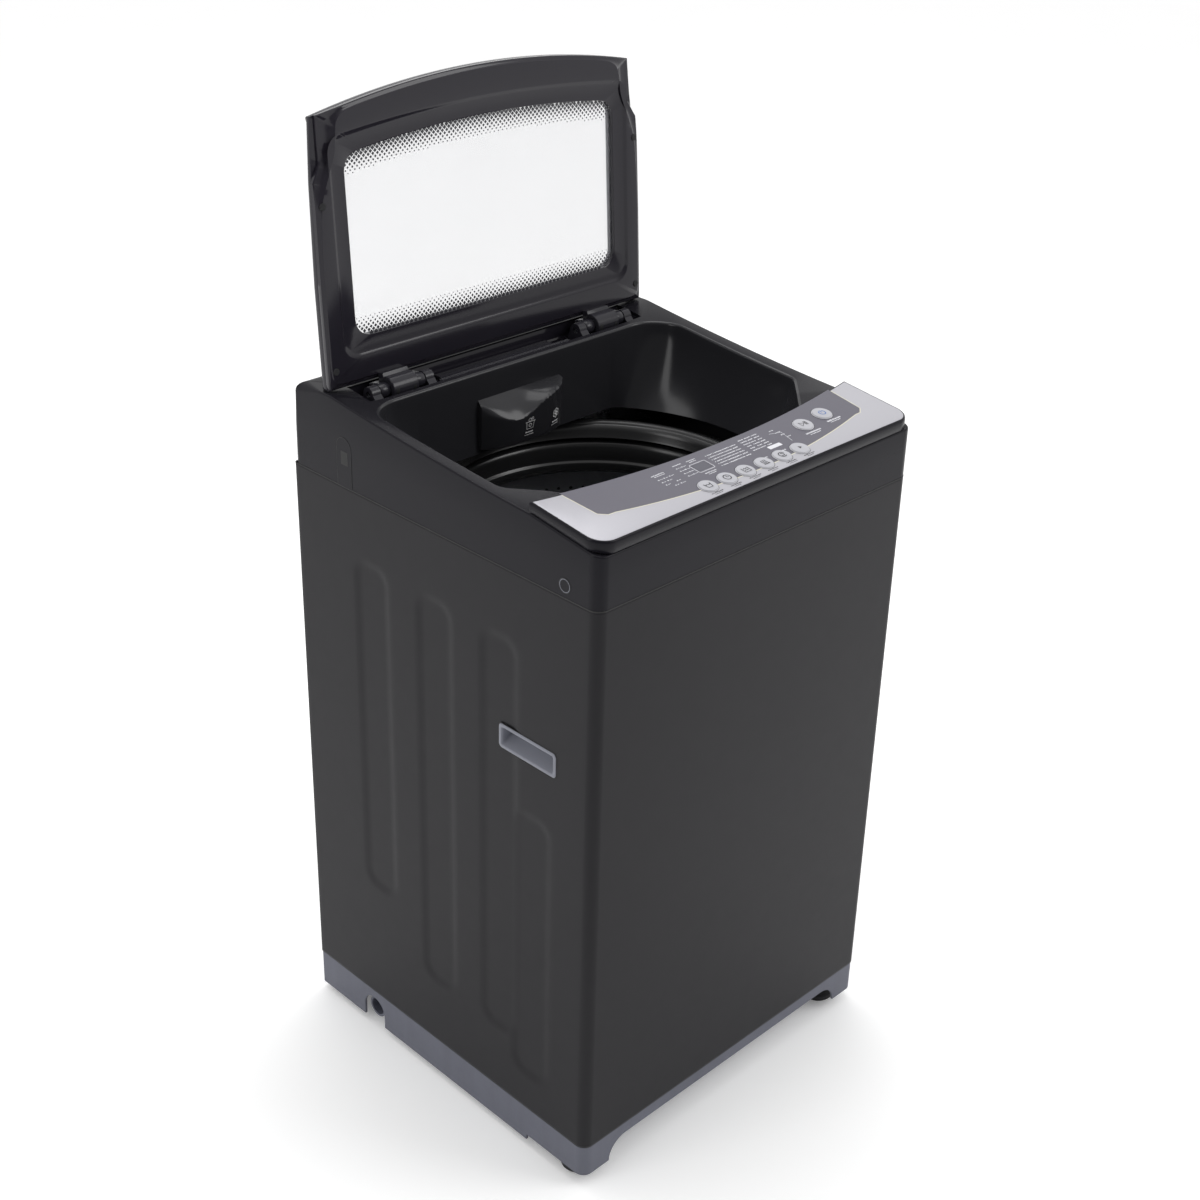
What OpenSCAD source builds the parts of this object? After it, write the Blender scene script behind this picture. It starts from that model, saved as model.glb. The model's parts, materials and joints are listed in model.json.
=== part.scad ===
// Top load washing machine, drawn with its lid open.
// X points to the machine's right, the front faces -Y and Z is up.
// The origin lies on the floor under the middle of the cabinet. Sizes are in millimetres.

/* [Cabinet] */
// Width across the two painted sides
body_w = 520; // [430:1:630]
// Depth from the painted front to the rear edge
body_d = 514; // [425:1:620]
// Height of the painted sheet
sheet_h = 727; // [600:1:880]
// Height of the sheet's lower edge above the floor
plinth_h = 63; // [56:1:78]
// Thickness of the painted sheet
sheet_t = 1.2; // [0.8:0.1:2]
// Outside radius of the front corners
corner_r = 14; // [8:1:20]
// Depth of the ribs stamped in the sides
rib_depth = 0.8; // [0.4:0.1:1]
// Width of one stamped rib
rib_w = 55; // [40:1:64]

/* [Base] */
// Wall of the plastic base
base_wall = 3; // [2:0.5:5]
// Height of the side skirt's lower edge above the floor
skirt_low = 11; // [8:1:14]
// Height of the skirt's lower edge over the front feet
skirt_front = 18.5; // [16:0.5:24]
// Radius of a rubber foot
foot_r = 22; // [16:1:26]
// Radius of a levelling foot's screw
foot_screw_r = 5; // [4:0.5:6]
// How far a levelling foot screws out
foot_travel = 12; // [6:1:14]

/* [Top frame] */
// Rise of the top frame over the sheet along the front
lip_rise = 62.5; // [55:0.5:72]
// Rise of the top frame at the control panel's rear end
nose_rise = 77; // [70:0.5:84]
// Rise of the top frame behind the lid
rear_rise = 106; // [98:0.5:116]
// How far the side edge sags between panel and hinge
crest_sag = 3.1; // [0:0.1:5]
// Wall of the top frame
frame_wall = 3; // [2.5:0.5:4]
// Width of the rim beside the loading opening
rim_w = 20; // [17:1:26]
// Distance from the rear edge to the opening's rear wall
deck_d = 111; // [105:1:126]
// Radius of the round mouth under the opening
mouth_r = 220; // [184:1:226]

/* [Control panel] */
// Depth of the control panel at the sides
panel_d = 104; // [92:1:116]
// Slope of the control panel in degrees
panel_tilt = 7; // [4:0.5:9]
// Height of the panel's dark edge at the front
panel_edge = 14.5; // [12:0.5:18]
// Thickness of the silver plate
plate_t = 2; // [1.5:0.25:2.5]
// Radius of a push button
button_r = 11.3; // [8:0.1:13]
// Pitch of the six small functions' buttons
button_pitch = 30.5; // [29:0.5:36]
// Gap round each push button
button_gap = 0.4; // [0.3:0.05:0.6]
// Travel of a push button
button_travel = 1; // [0.6:0.1:1.4]

/* [Lid] */
// Length of the lid from rear edge to front middle
lid_len = 335; // [300:1:337]
// Thickness of the closed lid
lid_t = 18; // [16:0.5:20]
// Angle between closed and open
lid_open = 98.8; // [90:0.1:99]
// Slope of the closed lid in degrees
lid_slope = 5.2; // [4.8:0.1:5.4]
// Thickness of the glass
glass_t = 4; // [3:0.5:5]
// Radius of the hinge barrel
barrel_r = 13; // [11:0.5:14]
// Radius of the hinge pin
hinge_pin_r = 4; // [3:0.25:5]
// Running clearance of pins and shafts in their bores
run_gap = 0.05; // [0.02:0.01:0.09]

/* [Tub and drive] */
// Clearance from the outer tub to the nearest side
tub_gap = 28; // [24:1:40]
// Wall of the outer tub
tub_wall = 3; // [2.5:0.5:4]
// Gap between basket and outer tub
basket_gap = 13; // [10:1:18]
// Inner radius of the balance ring
ring_in_r = 190; // [160:1:196]
// Height of the tub floor above the floor
tub_floor = 240; // [225:1:265]
// Radius of the pulsator
pulsator_r = 165; // [135:1:178]
// Radius of the solid wash shaft
wash_shaft_r = 9; // [7:0.5:11]
// Outer radius of the hollow spin shaft
spin_shaft_r = 17; // [15:0.5:19]
// Pitch radius of the large pulley
big_pulley_r = 92; // [70:1:100]
// Pitch radius of the motor pulley
small_pulley_r = 23; // [18:1:28]
// Radius of a suspension rod
rod_r = 4; // [3:0.5:5]
// Distance the tub can sink on its springs
tub_sink = 12; // [6:1:14]

/* [Hidden] */
$fn = 64;
hw = body_w / 2;
hd = body_d / 2;
z0 = plinth_h;
z1 = plinth_h + sheet_h;
seam = 0.4;

// Top frame levels
nose_y = -hd + panel_d;
crest_end = hd - 77;
crest_len = crest_end - nose_y;
function crest(y) =
    let (t = (y - nose_y) / crest_len)
    z1 + nose_rise + (rear_rise - nose_rise) * t - 4 * crest_sag * t * (1 - t);
open_x = hw - rim_w;
open_rear = hd - deck_d;
open_front = -hd + panel_d + 3;
mouth_z = z1 - 10;
mouth = min(mouth_r, open_x - 8);

// Control panel plane: the silver top at distance y from the middle
panel_z0 = z1 + lip_rise + panel_edge;
function panel_top(y) = panel_z0 + (y + hd) * tan(panel_tilt);
seam_slope = (nose_rise - lip_rise) / panel_d;
function panel_seam(y) = z1 + lip_rise + (y + hd) * seam_slope;
panel_rear = nose_y - 23;
panel_corner = nose_y + 2;
panel_side = hw - 3;
button_row = -hd + 22.5;
button_names = [for (i = [0:5]) [(i - 2.5) * button_pitch, button_row]];
start_pos = [hw - 136, -hd + 57.5];
power_pos = [hw - 95, -hd + 63.5];
board_drop = 17;
display_pos = [-49, -hd + 57];
display_size = [22, 14];

// Lid and hinge
hinge_y = hd - 85;
hinge_z = z1 + rear_rise - 8;
lid_rear_y = hinge_y - 11.6;
lid_rear_z = hinge_z + 13.1;
lid_hw = hw - 4;
lid_nose_hw = hw - 13;
lid_sagitta = 26;
lid_step = 0.7 * lid_len;
knuckle_w = 66;
knuckle_x = hw - 94;
ear_w = 12;
well_hw = knuckle_w / 2 + ear_w + 6;
well_rear = hinge_y + 24;
well_low = hinge_z - 17;
liner_t = 5;
glass_low = 7;
function lid_under(y) = lid_rear_z - (lid_rear_y - y) * tan(lid_slope);
window_hw = hw - 54;
window_near = 54;
window_far = lid_len - 71;
window_r = 22;

// Dispenser drawer
drawer_hw = 67;
drawer_low = z1 - 3;
drawer_high = z1 + 60;
drawer_out = 30;
drawer_deep = 80;
drawer_travel = 70;

// Handles, clips and caps in the sides
handle_y = -hd + 104;
handle_z = z0 + 516;
handle_w = 92;
handle_h = 31;
handle_deep = 28;
clip_y = hd - 98;
clip_w = 26;
clip_h = 62;
cap_y = -hd + 49.5;
cap_z = z1 + 14.5;
cap_r = 7.8;

// Tub, basket and drive
tub_r = min(hw, hd) - tub_gap;
tub_in = tub_r - tub_wall;
basket_r = tub_in - basket_gap;
tub_top = mouth_z - 26;
ring_in = min(ring_in_r, basket_r - 20);
ring_top = tub_top - 12;
ring_h = 42;
basket_low = tub_floor + 44;
basket_wall = 1.5;
pulsator = min(pulsator_r, basket_r - 30);
shaft_top = basket_low + 26;
pulley_z = tub_floor - 122;
belt_h = 8;
motor_pos = [112, -78];
ear_d = 26;
rod_x = hw - 46;
rod_y = hd - 46;
ear_z = tub_floor + 66;
spring_low = ear_z - 66;
spring_r = 12;
hang_z = tub_top - 22;
rear_y = hd - sheet_t;
inlet_x = hw - 110;
inlet_z = z1 + 48;
inlet_r = 13.2;
drain_r = 15;
notch_y = hd - 115;
notch_w = 41;
notch_top = z0 - 13;
drain_z = skirt_low + 21;
drain_at = [-150, 70];
drain_turn = [-hw + 45, notch_y];
drain_way = drain_turn - drain_at;
drain_heading = atan2(drain_way[1], drain_way[0]);
drain_level = tub_floor - 48;
hose_r = 14;
hose_bore = 11;
socket_r = 19;
foot_x = hw - 30;
foot_y = hd - 38;
foot_pad_h = 17;
screw_x = hw - 13;
screw_levels = [for (i = [0:3]) z0 + 40 + i * (sheet_h - 80) / 3];
back_ribs = [z0 + 120, z0 + 300, z0 + 480];
gland_x = hw - 70;
gland_z = z0 + 60;

// ---------- shapes that repeat ----------

// Rectangle w by d with front corners rounded by rf and rear corners by rr
module plan(w, d, rf, rr) {
    translate([-w / 2, -d / 2 + rf]) square([w, d - rf - rr]);
    translate([-w / 2 + rf, -d / 2]) square([w - 2 * rf, rf + 1]);
    translate([-w / 2 + rr, d / 2 - rr - 1]) square([w - 2 * rr, rr + 1]);
    for (s = [-1, 1]) {
        translate([s * (w / 2 - rf), -d / 2 + rf]) circle(rf);
        translate([s * (w / 2 - rr), d / 2 - rr]) circle(rr);
    }
}

// The cabinet's plan, pulled in by inset on every side
module body_plan(inset, rear_r = 4) {
    plan(body_w - 2 * inset, body_d - 2 * inset, corner_r - inset / 2, rear_r);
}

// Extrudes an outline drawn in Y and Z across the width w
module across(w) {
    rotate([90, 0, 90]) linear_extrude(height = w, center = true) children();
}

// A slab between two heights
module slab(low, high) {
    translate([0, 0, low]) linear_extrude(height = high - low) children();
}

// A tube from low to high
module tube(ro, ri, low, high) {
    slab(low, high) difference() {
        circle(ro);
        circle(ri);
    }
}

// A rod from low to high
module rod(r, low, high) {
    translate([0, 0, low]) cylinder(r = r, h = high - low);
}

// Both the left and the right copy
module both_sides() {
    for (s = [0, 1]) mirror([s, 0, 0]) children();
}

// The four corners
module four_corners(x, y) {
    for (sx = [-1, 1]) for (sy = [-1, 1]) translate([sx * x, sy * y, 0]) children();
}

// ---------- cabinet ----------

// Outline of a stamped rib in Y and Z with round ends
module rib_outline(y, low, high, grow = 0) {
    r = 16;
    translate([y - rib_w / 2 - grow, low + r]) square([rib_w + 2 * grow, high - low - 2 * r]);
    for (e = [low + r, high - r]) {
        translate([y - rib_w / 2 + r, e - r - grow]) square([rib_w - 2 * r, 2 * r + 2 * grow]);
        for (s = [-1, 1]) translate([y + s * (rib_w / 2 - r), e]) circle(r + grow);
    }
}

// The ribs of one side: three long ones and a short one under the handle
module ribs(grow = 0) {
    rib_outline(hd - 141, z0 + 181, z1 - 86, grow);
    rib_outline(hd - 254, z0 + 98, z1 - 86, grow);
    rib_outline(hd - 363, z0 + 98, z1 - 86, grow);
    rib_outline(-hd + 96, z0 + 55, handle_z - 86, grow);
}

module side_wall_shape(x_low, x_high) {
    translate([(x_low + x_high) / 2, 0, 0]) across(x_high - x_low) children();
}

module cabinet_shell() {
    flange = 18;
    color("#3e3e40") difference() {
        union() {
            slab(z0, z1) difference() {
                body_plan(0);
                body_plan(sheet_t, 3);
            }
            both_sides() side_wall_shape(-hw + sheet_t - 0.2, -hw + sheet_t + rib_depth) ribs(1.2);
        }
        both_sides() side_wall_shape(-hw - 1, -hw + rib_depth) ribs();
        both_sides() translate([-hw - 1, handle_y - handle_w / 2 + 2.4, handle_z - handle_h / 2 + 2.4])
            cube([4, handle_w - 4.8, handle_h - 4.8]);
        translate([-hw + flange, hd - 2 * sheet_t, z0 - 1])
            cube([body_w - 2 * flange, 3 * sheet_t, sheet_h + 2]);
        at_screws() translate([0, 0, -1]) cylinder(r = 3.9, h = sheet_t + 1.6);
    }
}

// Places children at each screw of the back panel, with local Z pointing into the machine
module at_screws() {
    for (x = [-screw_x, screw_x]) for (z = screw_levels) translate([x, hd, z]) rotate([90, 0, 0]) children();
}

module back_panel() {
    edge = 8;
    rib_h = 26;
    color("#8b8d90") difference() {
        union() {
            translate([-hw + edge, rear_y - sheet_t, z0 + 2]) cube([body_w - 2 * edge, sheet_t, sheet_h - 4]);
            for (z = back_ribs) translate([-hw + 60, rear_y - sheet_t - 3, z]) cube([body_w - 120, 4, rib_h]);
        }
        for (z = back_ribs) translate([-hw + 62, rear_y - sheet_t - 1.8, z + 2])
            cube([body_w - 124, 5, rib_h - 4]);
        translate([gland_x, hd, gland_z]) rotate([90, 0, 0]) cylinder(r = 11, h = 8);
        at_screws() cylinder(r = 2.1, h = 2 * sheet_t + 1);
    }
}

// Screws whose heads lie in the shell's returns and bear on the back panel
module rear_screws() {
    color("#b8babd") at_screws() difference() {
        union() {
            cylinder(r = 3.6, h = sheet_t);
            cylinder(r = 1.9, h = 9);
        }
        translate([0, 0, -0.1]) cylinder(r = 1.5, h = 0.9, $fn = 6);
    }
}

// Cord gland: a thin outer flange, a neck through the back panel and a nut inside
module cord_gland() {
    color("#222224") translate([gland_x, hd - 0.1, gland_z]) rotate([90, 0, 0]) difference() {
        union() {
            cylinder(r = 10.6, h = 12);
            cylinder(r = 14, h = sheet_t - 0.1);
            translate([0, 0, 2 * sheet_t - 0.1]) cylinder(r = 13.5, h = 3);
        }
        translate([0, 0, -1]) cylinder(r = 4.2, h = 20);
    }
}

// ---------- base and feet ----------

// Side skirt outline in Y and Z with the drain notch and the step over the front foot
module skirt_side() {
    difference() {
        union() {
            translate([-hd + 101, skirt_low]) square([body_d - 101, z0 - skirt_low]);
            translate([-hd - 1, skirt_front]) square([103, z0 - skirt_front]);
        }
        translate([notch_y - notch_w / 2, 0]) square([notch_w, notch_top - notch_w / 2]);
        translate([notch_y, notch_top - notch_w / 2]) circle(notch_w / 2);
    }
}

// Front skirt outline in X and Z: a shallow band that drops to the feet in quarter rounds
module skirt_front_shape() {
    band = z0 - 17;
    drop = band - skirt_front;
    translate([-hw, band]) square([body_w, z0 - band]);
    for (s = [-1, 1]) difference() {
        translate([s * (hw - 36) - 36, skirt_front]) square([72, drop + 1]);
        translate([s * (hw - 36 - 36), skirt_front]) circle(drop);
        translate([s * (hw - 36 - 36) - (s > 0 ? 40 : 0), skirt_front - 1]) square([40, drop + 1]);
    }
}

// Plan of the upstand inside the sheet, stopped short of the back panel
module upstand(inset) {
    intersection() {
        body_plan(inset);
        translate([-hw, -hd]) square([body_w, hd + rear_y - inset]);
    }
}

module base_frame() {
    inset = sheet_t + 0.3;
    color("#666875") difference() {
        union() {
            intersection() {
                slab(skirt_low, z0) difference() {
                    body_plan(0.8);
                    body_plan(0.8 + base_wall);
                }
                union() {
                    across(body_w) intersection() {
                        skirt_side();
                        translate([-hd + 14, 0]) square([body_d, z0]);
                    }
                    translate([0, -hd + 7, 0]) rotate([90, 0, 0]) linear_extrude(height = 30, center = true)
                        skirt_front_shape();
                }
            }
            slab(z0 - 6, z0 - 3) difference() {
                body_plan(2);
                square([body_w - 130, body_d - 130], center = true);
            }
            slab(z0 - 3, z0 + 12) difference() {
                upstand(inset);
                upstand(inset + base_wall);
            }
            four_corners(foot_x, foot_y) rod(17, skirt_front, z0 - 4);
        }
        translate([drain_turn[0], drain_turn[1], 0]) rod(socket_r + 3.3, z0 - 8, z0 - 2);
        four_corners(foot_x, foot_y) rod(foot_screw_r + run_gap, 0, z0 + 4);
    }
}

module foot_shape() {
    rotate_extrude() polygon([
        [0, 0], [foot_r - 3, 0], [foot_r, 3], [foot_r, 9], [foot_r - 5, foot_pad_h],
        [foot_screw_r, foot_pad_h], [foot_screw_r, z0 - foot_travel - 3], [0, z0 - foot_travel - 3]
    ]);
}

module rear_feet() {
    color("#1b1b1d") for (s = [-1, 1]) translate([s * foot_x, foot_y, 0]) rotate_extrude() polygon([
        [0, 0], [foot_r - 3, 0], [foot_r, 3], [foot_r, 9], [foot_r - 5, skirt_front],
        [foot_screw_r, skirt_front], [foot_screw_r, z0 - 8], [0, z0 - 8]
    ]);
}

module foot_left() {
    color("#1b1b1d") translate([-foot_x, -foot_y, 0]) foot_shape();
}

module foot_right() {
    color("#1b1b1d") translate([foot_x, -foot_y, 0]) foot_shape();
}

// ---------- top frame ----------

// Side outline of the top frame in Y and Z, pulled in by inset at the walls and the top
module frame_profile(inset = 0) {
    low = inset > 0 ? z1 - 1 : z1;
    steps = 14;
    polygon(concat(
        [[-hd - 1 + 2 * inset, low], [-hd - 1 + 2 * inset, z1 + lip_rise - inset]],
        [for (i = [0:steps]) let (y = nose_y + crest_len * i / steps) [y, crest(y) - inset]],
        [[hd - 24, z1 + rear_rise - 1 - inset], [hd - 15 - inset, z1 + rear_rise - 4 - inset],
         [hd - 10 - inset, z1 + rear_rise - 12 - inset], [hd - 3 - inset, low]]
    ));
}

module frame_solid(inset = 0) {
    intersection() {
        across(body_w + 2) frame_profile(inset);
        slab(z1 - 2, z1 + rear_rise + 5) body_plan(inset + 0.2, 10);
    }
}

// The loading opening: a rounded rectangle at the top and a truncated circle at the mouth
module funnel(grow, low, high) {
    hull() {
        slab(high - 1, high) plan2(open_x + grow, open_front - grow, open_rear + grow, 46);
        slab(low, low + 1) intersection() {
            circle(mouth + grow, $fn = 48);
            translate([-hw, open_front - grow]) square([body_w, open_rear - open_front + 2 * grow]);
        }
    }
}

// Rectangle of half width x from y_low to y_high with corner radius r
module plan2(x, y_low, y_high, r) {
    hull() for (s = [-1, 1]) for (y = [y_low + r, y_high - r])
        translate([s * (x - r), y]) circle(r, $fn = 32);
}

// A well for one hinge, grown by grow
module hinge_well(grow = 0) {
    both_sides() translate([knuckle_x - well_hw - grow, hinge_y - 20 - grow, well_low - grow])
        cube([2 * well_hw + 2 * grow, well_rear - hinge_y + 20 + 2 * grow, 60]);
}

module clip_outline(grow = 0) {
    w = clip_w + 2 * grow;
    foot = grow > 0 ? 1 : 0;
    translate([clip_y - w / 2, z1 - foot]) square([w, clip_h - clip_w / 2 + foot]);
    translate([clip_y, z1 + clip_h - clip_w / 2]) circle(w / 2);
}

module top_frame() {
    color("#35343a") difference() {
        union() {
            difference() {
                frame_solid();
                difference() {
                    frame_solid(frame_wall);
                    funnel(frame_wall, mouth_z, z1 + rear_rise + 12);
                }
            }
            intersection() {
                funnel(frame_wall, mouth_z, z1 + rear_rise + 12);
                slab(mouth_z, z1 + 2) square([body_w - 10, body_d - 10], center = true);
            }
            intersection() {
                frame_solid();
                hinge_well(frame_wall);
            }
            intersection() {
                frame_solid();
                translate([inlet_x - 32, hd - 48, inlet_z - 30]) cube([64, 60, 56]);
            }
        }
        funnel(0, mouth_z - 1, z1 + rear_rise + 14);
        hinge_well();
        translate([inlet_x - 29, hd - 45, inlet_z - 27]) cube([58, 60, 50]);
        translate([inlet_x, hd - 30, inlet_z]) rotate([90, 0, 0]) cylinder(r = 10, h = 30);
        translate([-drawer_hw - 2, open_rear - 5, drawer_low - 2])
            cube([2 * drawer_hw + 4, 12, drawer_high - drawer_low + 4]);
        translate([-hw + 60, -hd + 12, z1 + 20]) cube([body_w - 120, panel_d - 24, 80]);
        both_sides() side_wall_shape(-hw - 1, -hw + 1.8) clip_outline(0.3);
        both_sides() translate([-hw - 1, cap_y, cap_z]) rotate([0, 90, 0]) cylinder(r = cap_r + 0.3, h = 3);
    }
}

module side_clips() {
    color("#323136") both_sides() difference() {
        side_wall_shape(-hw - 0.1, -hw + 1.7) clip_outline(0);
        translate([-hw - 1, clip_y - 7, z1 + 28]) cube([2, 12.5, 17]);
    }
}

module screw_caps() {
    color("#323136") both_sides() translate([-hw, cap_y, cap_z]) rotate([0, 90, 0])
        cylinder(r = cap_r, h = 1.9);
}

module side_handles() {
    wall = 2.2;
    color("#80828a") both_sides() translate([-hw, handle_y, handle_z]) difference() {
        union() {
            translate([-1, -handle_w / 2, -handle_h / 2]) cube([1, handle_w, handle_h]);
            translate([-0.2, -handle_w / 2 + 2.6, -handle_h / 2 + 2.6])
                cube([handle_deep, handle_w - 5.2, handle_h - 5.2]);
        }
        pocket = [handle_deep, handle_w - 5.2 - 2 * wall, handle_h - 5.2 - 2 * wall];
        rotate([90, 0, 0]) linear_extrude(height = pocket[1], center = true) polygon([
            [-2, -pocket[2] / 2], [2, -pocket[2] / 2],
            [handle_deep - wall - 4, pocket[2] / 2 - 9], [handle_deep - wall, pocket[2] / 2 - 9],
            [handle_deep - wall, pocket[2] / 2], [-2, pocket[2] / 2]
        ]);
    }
}

// ---------- control panel ----------

// Places children on the panel: local X to the right, local Y up the slope, local Z out of the face
module on_panel(lift = 0) {
    translate([0, -hd, panel_z0]) rotate([panel_tilt, 0, 0]) translate([0, 0, lift]) children();
}

// Panel outline seen from above: a rounded front and a rear edge that bows towards the front
module panel_outline(inset = 0) {
    side = panel_side - inset;
    sagitta = panel_corner - panel_rear;
    bow = (pow(panel_side, 2) + pow(sagitta, 2)) / (2 * sagitta);
    difference() {
        translate([0, (-hd + 1 + inset + panel_corner - inset) / 2])
            plan(2 * side, panel_corner + hd - 1 - 2 * inset, 22 - inset, 2);
        translate([0, panel_rear - inset + bow]) circle(bow, $fn = 180);
    }
}

module under_panel(drop) {
    across(body_w) polygon([
        [-hd - 2, panel_seam(-hd - 2) + seam], [-hd - 2, panel_top(-hd - 2) - drop],
        [nose_y + 10, panel_top(nose_y + 10) - drop], [nose_y + 10, panel_seam(nose_y + 10) + seam]
    ]);
}

// Drills one hole through the panel at a place given from above
module panel_hole(p, r) {
    on_panel(0) translate([p[0], (p[1] + hd) / cos(panel_tilt), -30]) cylinder(r = r, h = 40);
}

module all_button_holes(grow) {
    for (p = button_names) panel_hole(p, button_r + grow);
    panel_hole(start_pos, button_r + 1 + grow);
    panel_hole(power_pos, button_r + 1 + grow);
}

module panel_body() {
    color("#343338") difference() {
        intersection() {
            slab(z1 + 20, z1 + 140) panel_outline();
            under_panel(plate_t / cos(panel_tilt));
        }
        difference() {
            intersection() {
                slab(z1 + 20, z1 + 140) panel_outline(3);
                under_panel(plate_t / cos(panel_tilt) + 3);
            }
            for (x = [-hw + 42, hw - 42]) translate([x, -hd + 50, 0]) rod(5, z1, z1 + 200);
        }
        all_button_holes(button_gap);
    }
}

// The dark inlay in the silver plate: straight rear, bowed front edge
module insert_outline(grow = 0) {
    x = hw - 46 + grow;
    near = -hd + 17 - grow;
    bow = 26;
    big = (pow(x, 2) + pow(bow, 2)) / (2 * bow);
    intersection() {
        translate([0, near + big]) circle(big, $fn = 180);
        translate([-x, -hd]) square([2 * x, panel_corner + hd]);
    }
}

module panel_fascia() {
    color("#d8d8dc") difference() {
        intersection() {
            slab(z1 + 20, z1 + 140) panel_outline(0.4);
            on_panel(-plate_t) translate([-hw, -5, 0]) cube([body_w, body_d, plate_t]);
        }
        intersection() {
            slab(z1 + 20, z1 + 140) insert_outline(0.2);
            on_panel(-1) translate([-hw, -5, 0]) cube([body_w, body_d, 3]);
        }
        all_button_holes(button_gap);
    }
}

module display_cut(grow, low, high) {
    on_panel(low) translate([display_pos[0] - display_size[0] / 2 - grow,
        display_pos[1] + hd - display_size[1] / 2 - grow, 0])
        cube([display_size[0] + 2 * grow, display_size[1] + 2 * grow, high - low]);
}

module panel_insert() {
    color("#6f6d79") difference() {
        intersection() {
            slab(z1 + 20, z1 + 140) intersection() {
                insert_outline(0);
                panel_outline(0.6);
            }
            on_panel(-1) translate([-hw, -5, 0]) cube([body_w, body_d, 1]);
        }
        all_button_holes(button_gap);
        display_cut(0.1, -2, 2);
    }
}

module display_window() {
    color("#2a2a30") display_cut(0, -1, 0.1);
}

module control_board() {
    color("#2f5d3a") intersection() {
        on_panel(-board_drop - 1.6) translate([-hw + 66, 16, 0]) cube([body_w - 132, 58, 1.6]);
        slab(z1, z1 + 140) square([body_w, body_d], center = true);
    }
    color("#222222") for (p = concat(button_names, [start_pos, power_pos]))
        on_panel(-board_drop) translate([p[0], (p[1] + hd) / cos(panel_tilt), 0]) cylinder(r = 3, h = 3);
    color("#8a8c90") for (x = [-hw + 84, hw - 84])
        on_panel(-board_drop) translate([x, 24, 0]) cylinder(r = 4, h = board_drop - plate_t - 3);
}

// A push button with a domed cap and a stem that reaches down to its switch
module push_button(p, r) {
    on_panel(0) translate([p[0], (p[1] + hd) / cos(panel_tilt), 0]) rotate_extrude() polygon([
        [0, -board_drop + 3 + button_travel + 0.3], [3, -board_drop + 3 + button_travel + 0.3], [3, -6],
        [r, -6], [r, 0.9], [r - 0.7, 1.6], [r * 0.5, 1.9], [0, 2]
    ]);
}

module button_program() {
    color("#c9c9cf") push_button(button_names[0], button_r);
}

module button_water() {
    color("#c9c9cf") push_button(button_names[1], button_r);
}

module button_wash() {
    color("#c9c9cf") push_button(button_names[2], button_r);
}

module button_rinse() {
    color("#c9c9cf") push_button(button_names[3], button_r);
}

module button_spin() {
    color("#c9c9cf") push_button(button_names[4], button_r);
}

module button_delay() {
    color("#c9c9cf") push_button(button_names[5], button_r);
}

module button_start() {
    color("#c9c9cf") push_button(start_pos, button_r + 1);
}

module button_power() {
    color("#c9c9cf") push_button(power_pos, button_r + 1);
}

// ---------- dispenser and water inlet ----------

// Box round the drawer, with a flange that bears on the rear of the opening's wall
module dispenser_housing() {
    wall = 2;
    deep = drawer_deep + 8;
    half = drawer_hw - 1;
    high = drawer_high - drawer_low;
    color("#2c2c30") translate([0, open_rear + frame_wall, drawer_low + 4]) difference() {
        union() {
            translate([-half, 0, 0]) cube([2 * half, deep, high]);
            translate([-half - 6, 0, -8]) cube([2 * half + 12, 2, high + 12]);
        }
        translate([-half + wall, -1, wall]) cube([2 * half - 2 * wall, deep - wall + 1, high - 2 * wall]);
        translate([half - 13, deep - 20, high - 24]) rotate([0, 90, 0]) rod(7, 0, 30);
    }
}

// The drawer: a bulged front with a finger scoop, and an open box with a divider behind it
module detergent_drawer() {
    box_hw = drawer_hw - 5;
    low = drawer_low + 9;
    high = drawer_high - 10;
    y = open_rear;
    color("#26262a") union() {
        difference() {
            across(2 * drawer_hw) polygon([
                [y + 1, drawer_low], [y - drawer_out + 8, drawer_low + 6], [y - drawer_out, drawer_low + 20],
                [y - drawer_out + 4, drawer_high - 16], [y - 2, drawer_high], [y + 1, drawer_high]
            ]);
            across(2 * drawer_hw - 6) polygon([
                [y - 3, drawer_low + 3], [y - drawer_out + 10, drawer_low + 8],
                [y - drawer_out + 3, drawer_low + 20],
                [y - drawer_out + 7, drawer_high - 20], [y - 4, drawer_high - 6], [y - 3, drawer_high - 6]
            ]);
        }
        difference() {
            translate([-box_hw, y - 1, low]) cube([2 * box_hw, drawer_deep, high - low]);
            translate([-box_hw + 2, y + 1, low + 2]) cube([box_hw * 1.2, drawer_deep - 4, high - low]);
            translate([-box_hw + 4 + box_hw * 1.2, y + 1, low + 2])
                cube([box_hw * 0.8 - 6, drawer_deep - 4, high - low]);
        }
    }
}

module inlet_valve() {
    color("#d7d7d2") translate([inlet_x, 0, inlet_z]) {
        translate([0, hd - 3, 0]) rotate([90, 0, 0]) difference() {
            union() {
                cylinder(r = inlet_r, h = 18);
                translate([0, 0, 18]) cylinder(r = 17, h = 4);
            }
            translate([0, 0, -1]) cylinder(r = 9.5, h = 14);
        }
        translate([0, hd - 25, 0]) rotate([90, 0, 0]) cylinder(r = 9.6, h = 30);
        translate([-22, hd - 95, -18]) cube([44, 41, 36]);
    }
}

// Hangs from the underside of the left hinge well
module water_level_sensor() {
    stem = 34;
    color("#3a6ea0") translate([-knuckle_x, hd - 79, well_low - 3 - stem]) {
        rod(22, 0, 14);
        rod(26, 14, 20);
        rod(9, 20, stem);
        translate([-3, -3, -12]) cube([6, 6, 13]);
    }
}

// Sits on the rear wall of the right hinge well
module lid_sensor() {
    color("#2a2a2d") translate([hw - 70, well_rear + 3, z1 + 80]) cube([24, 14, 20]);
}

// ---------- lid ----------

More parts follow.
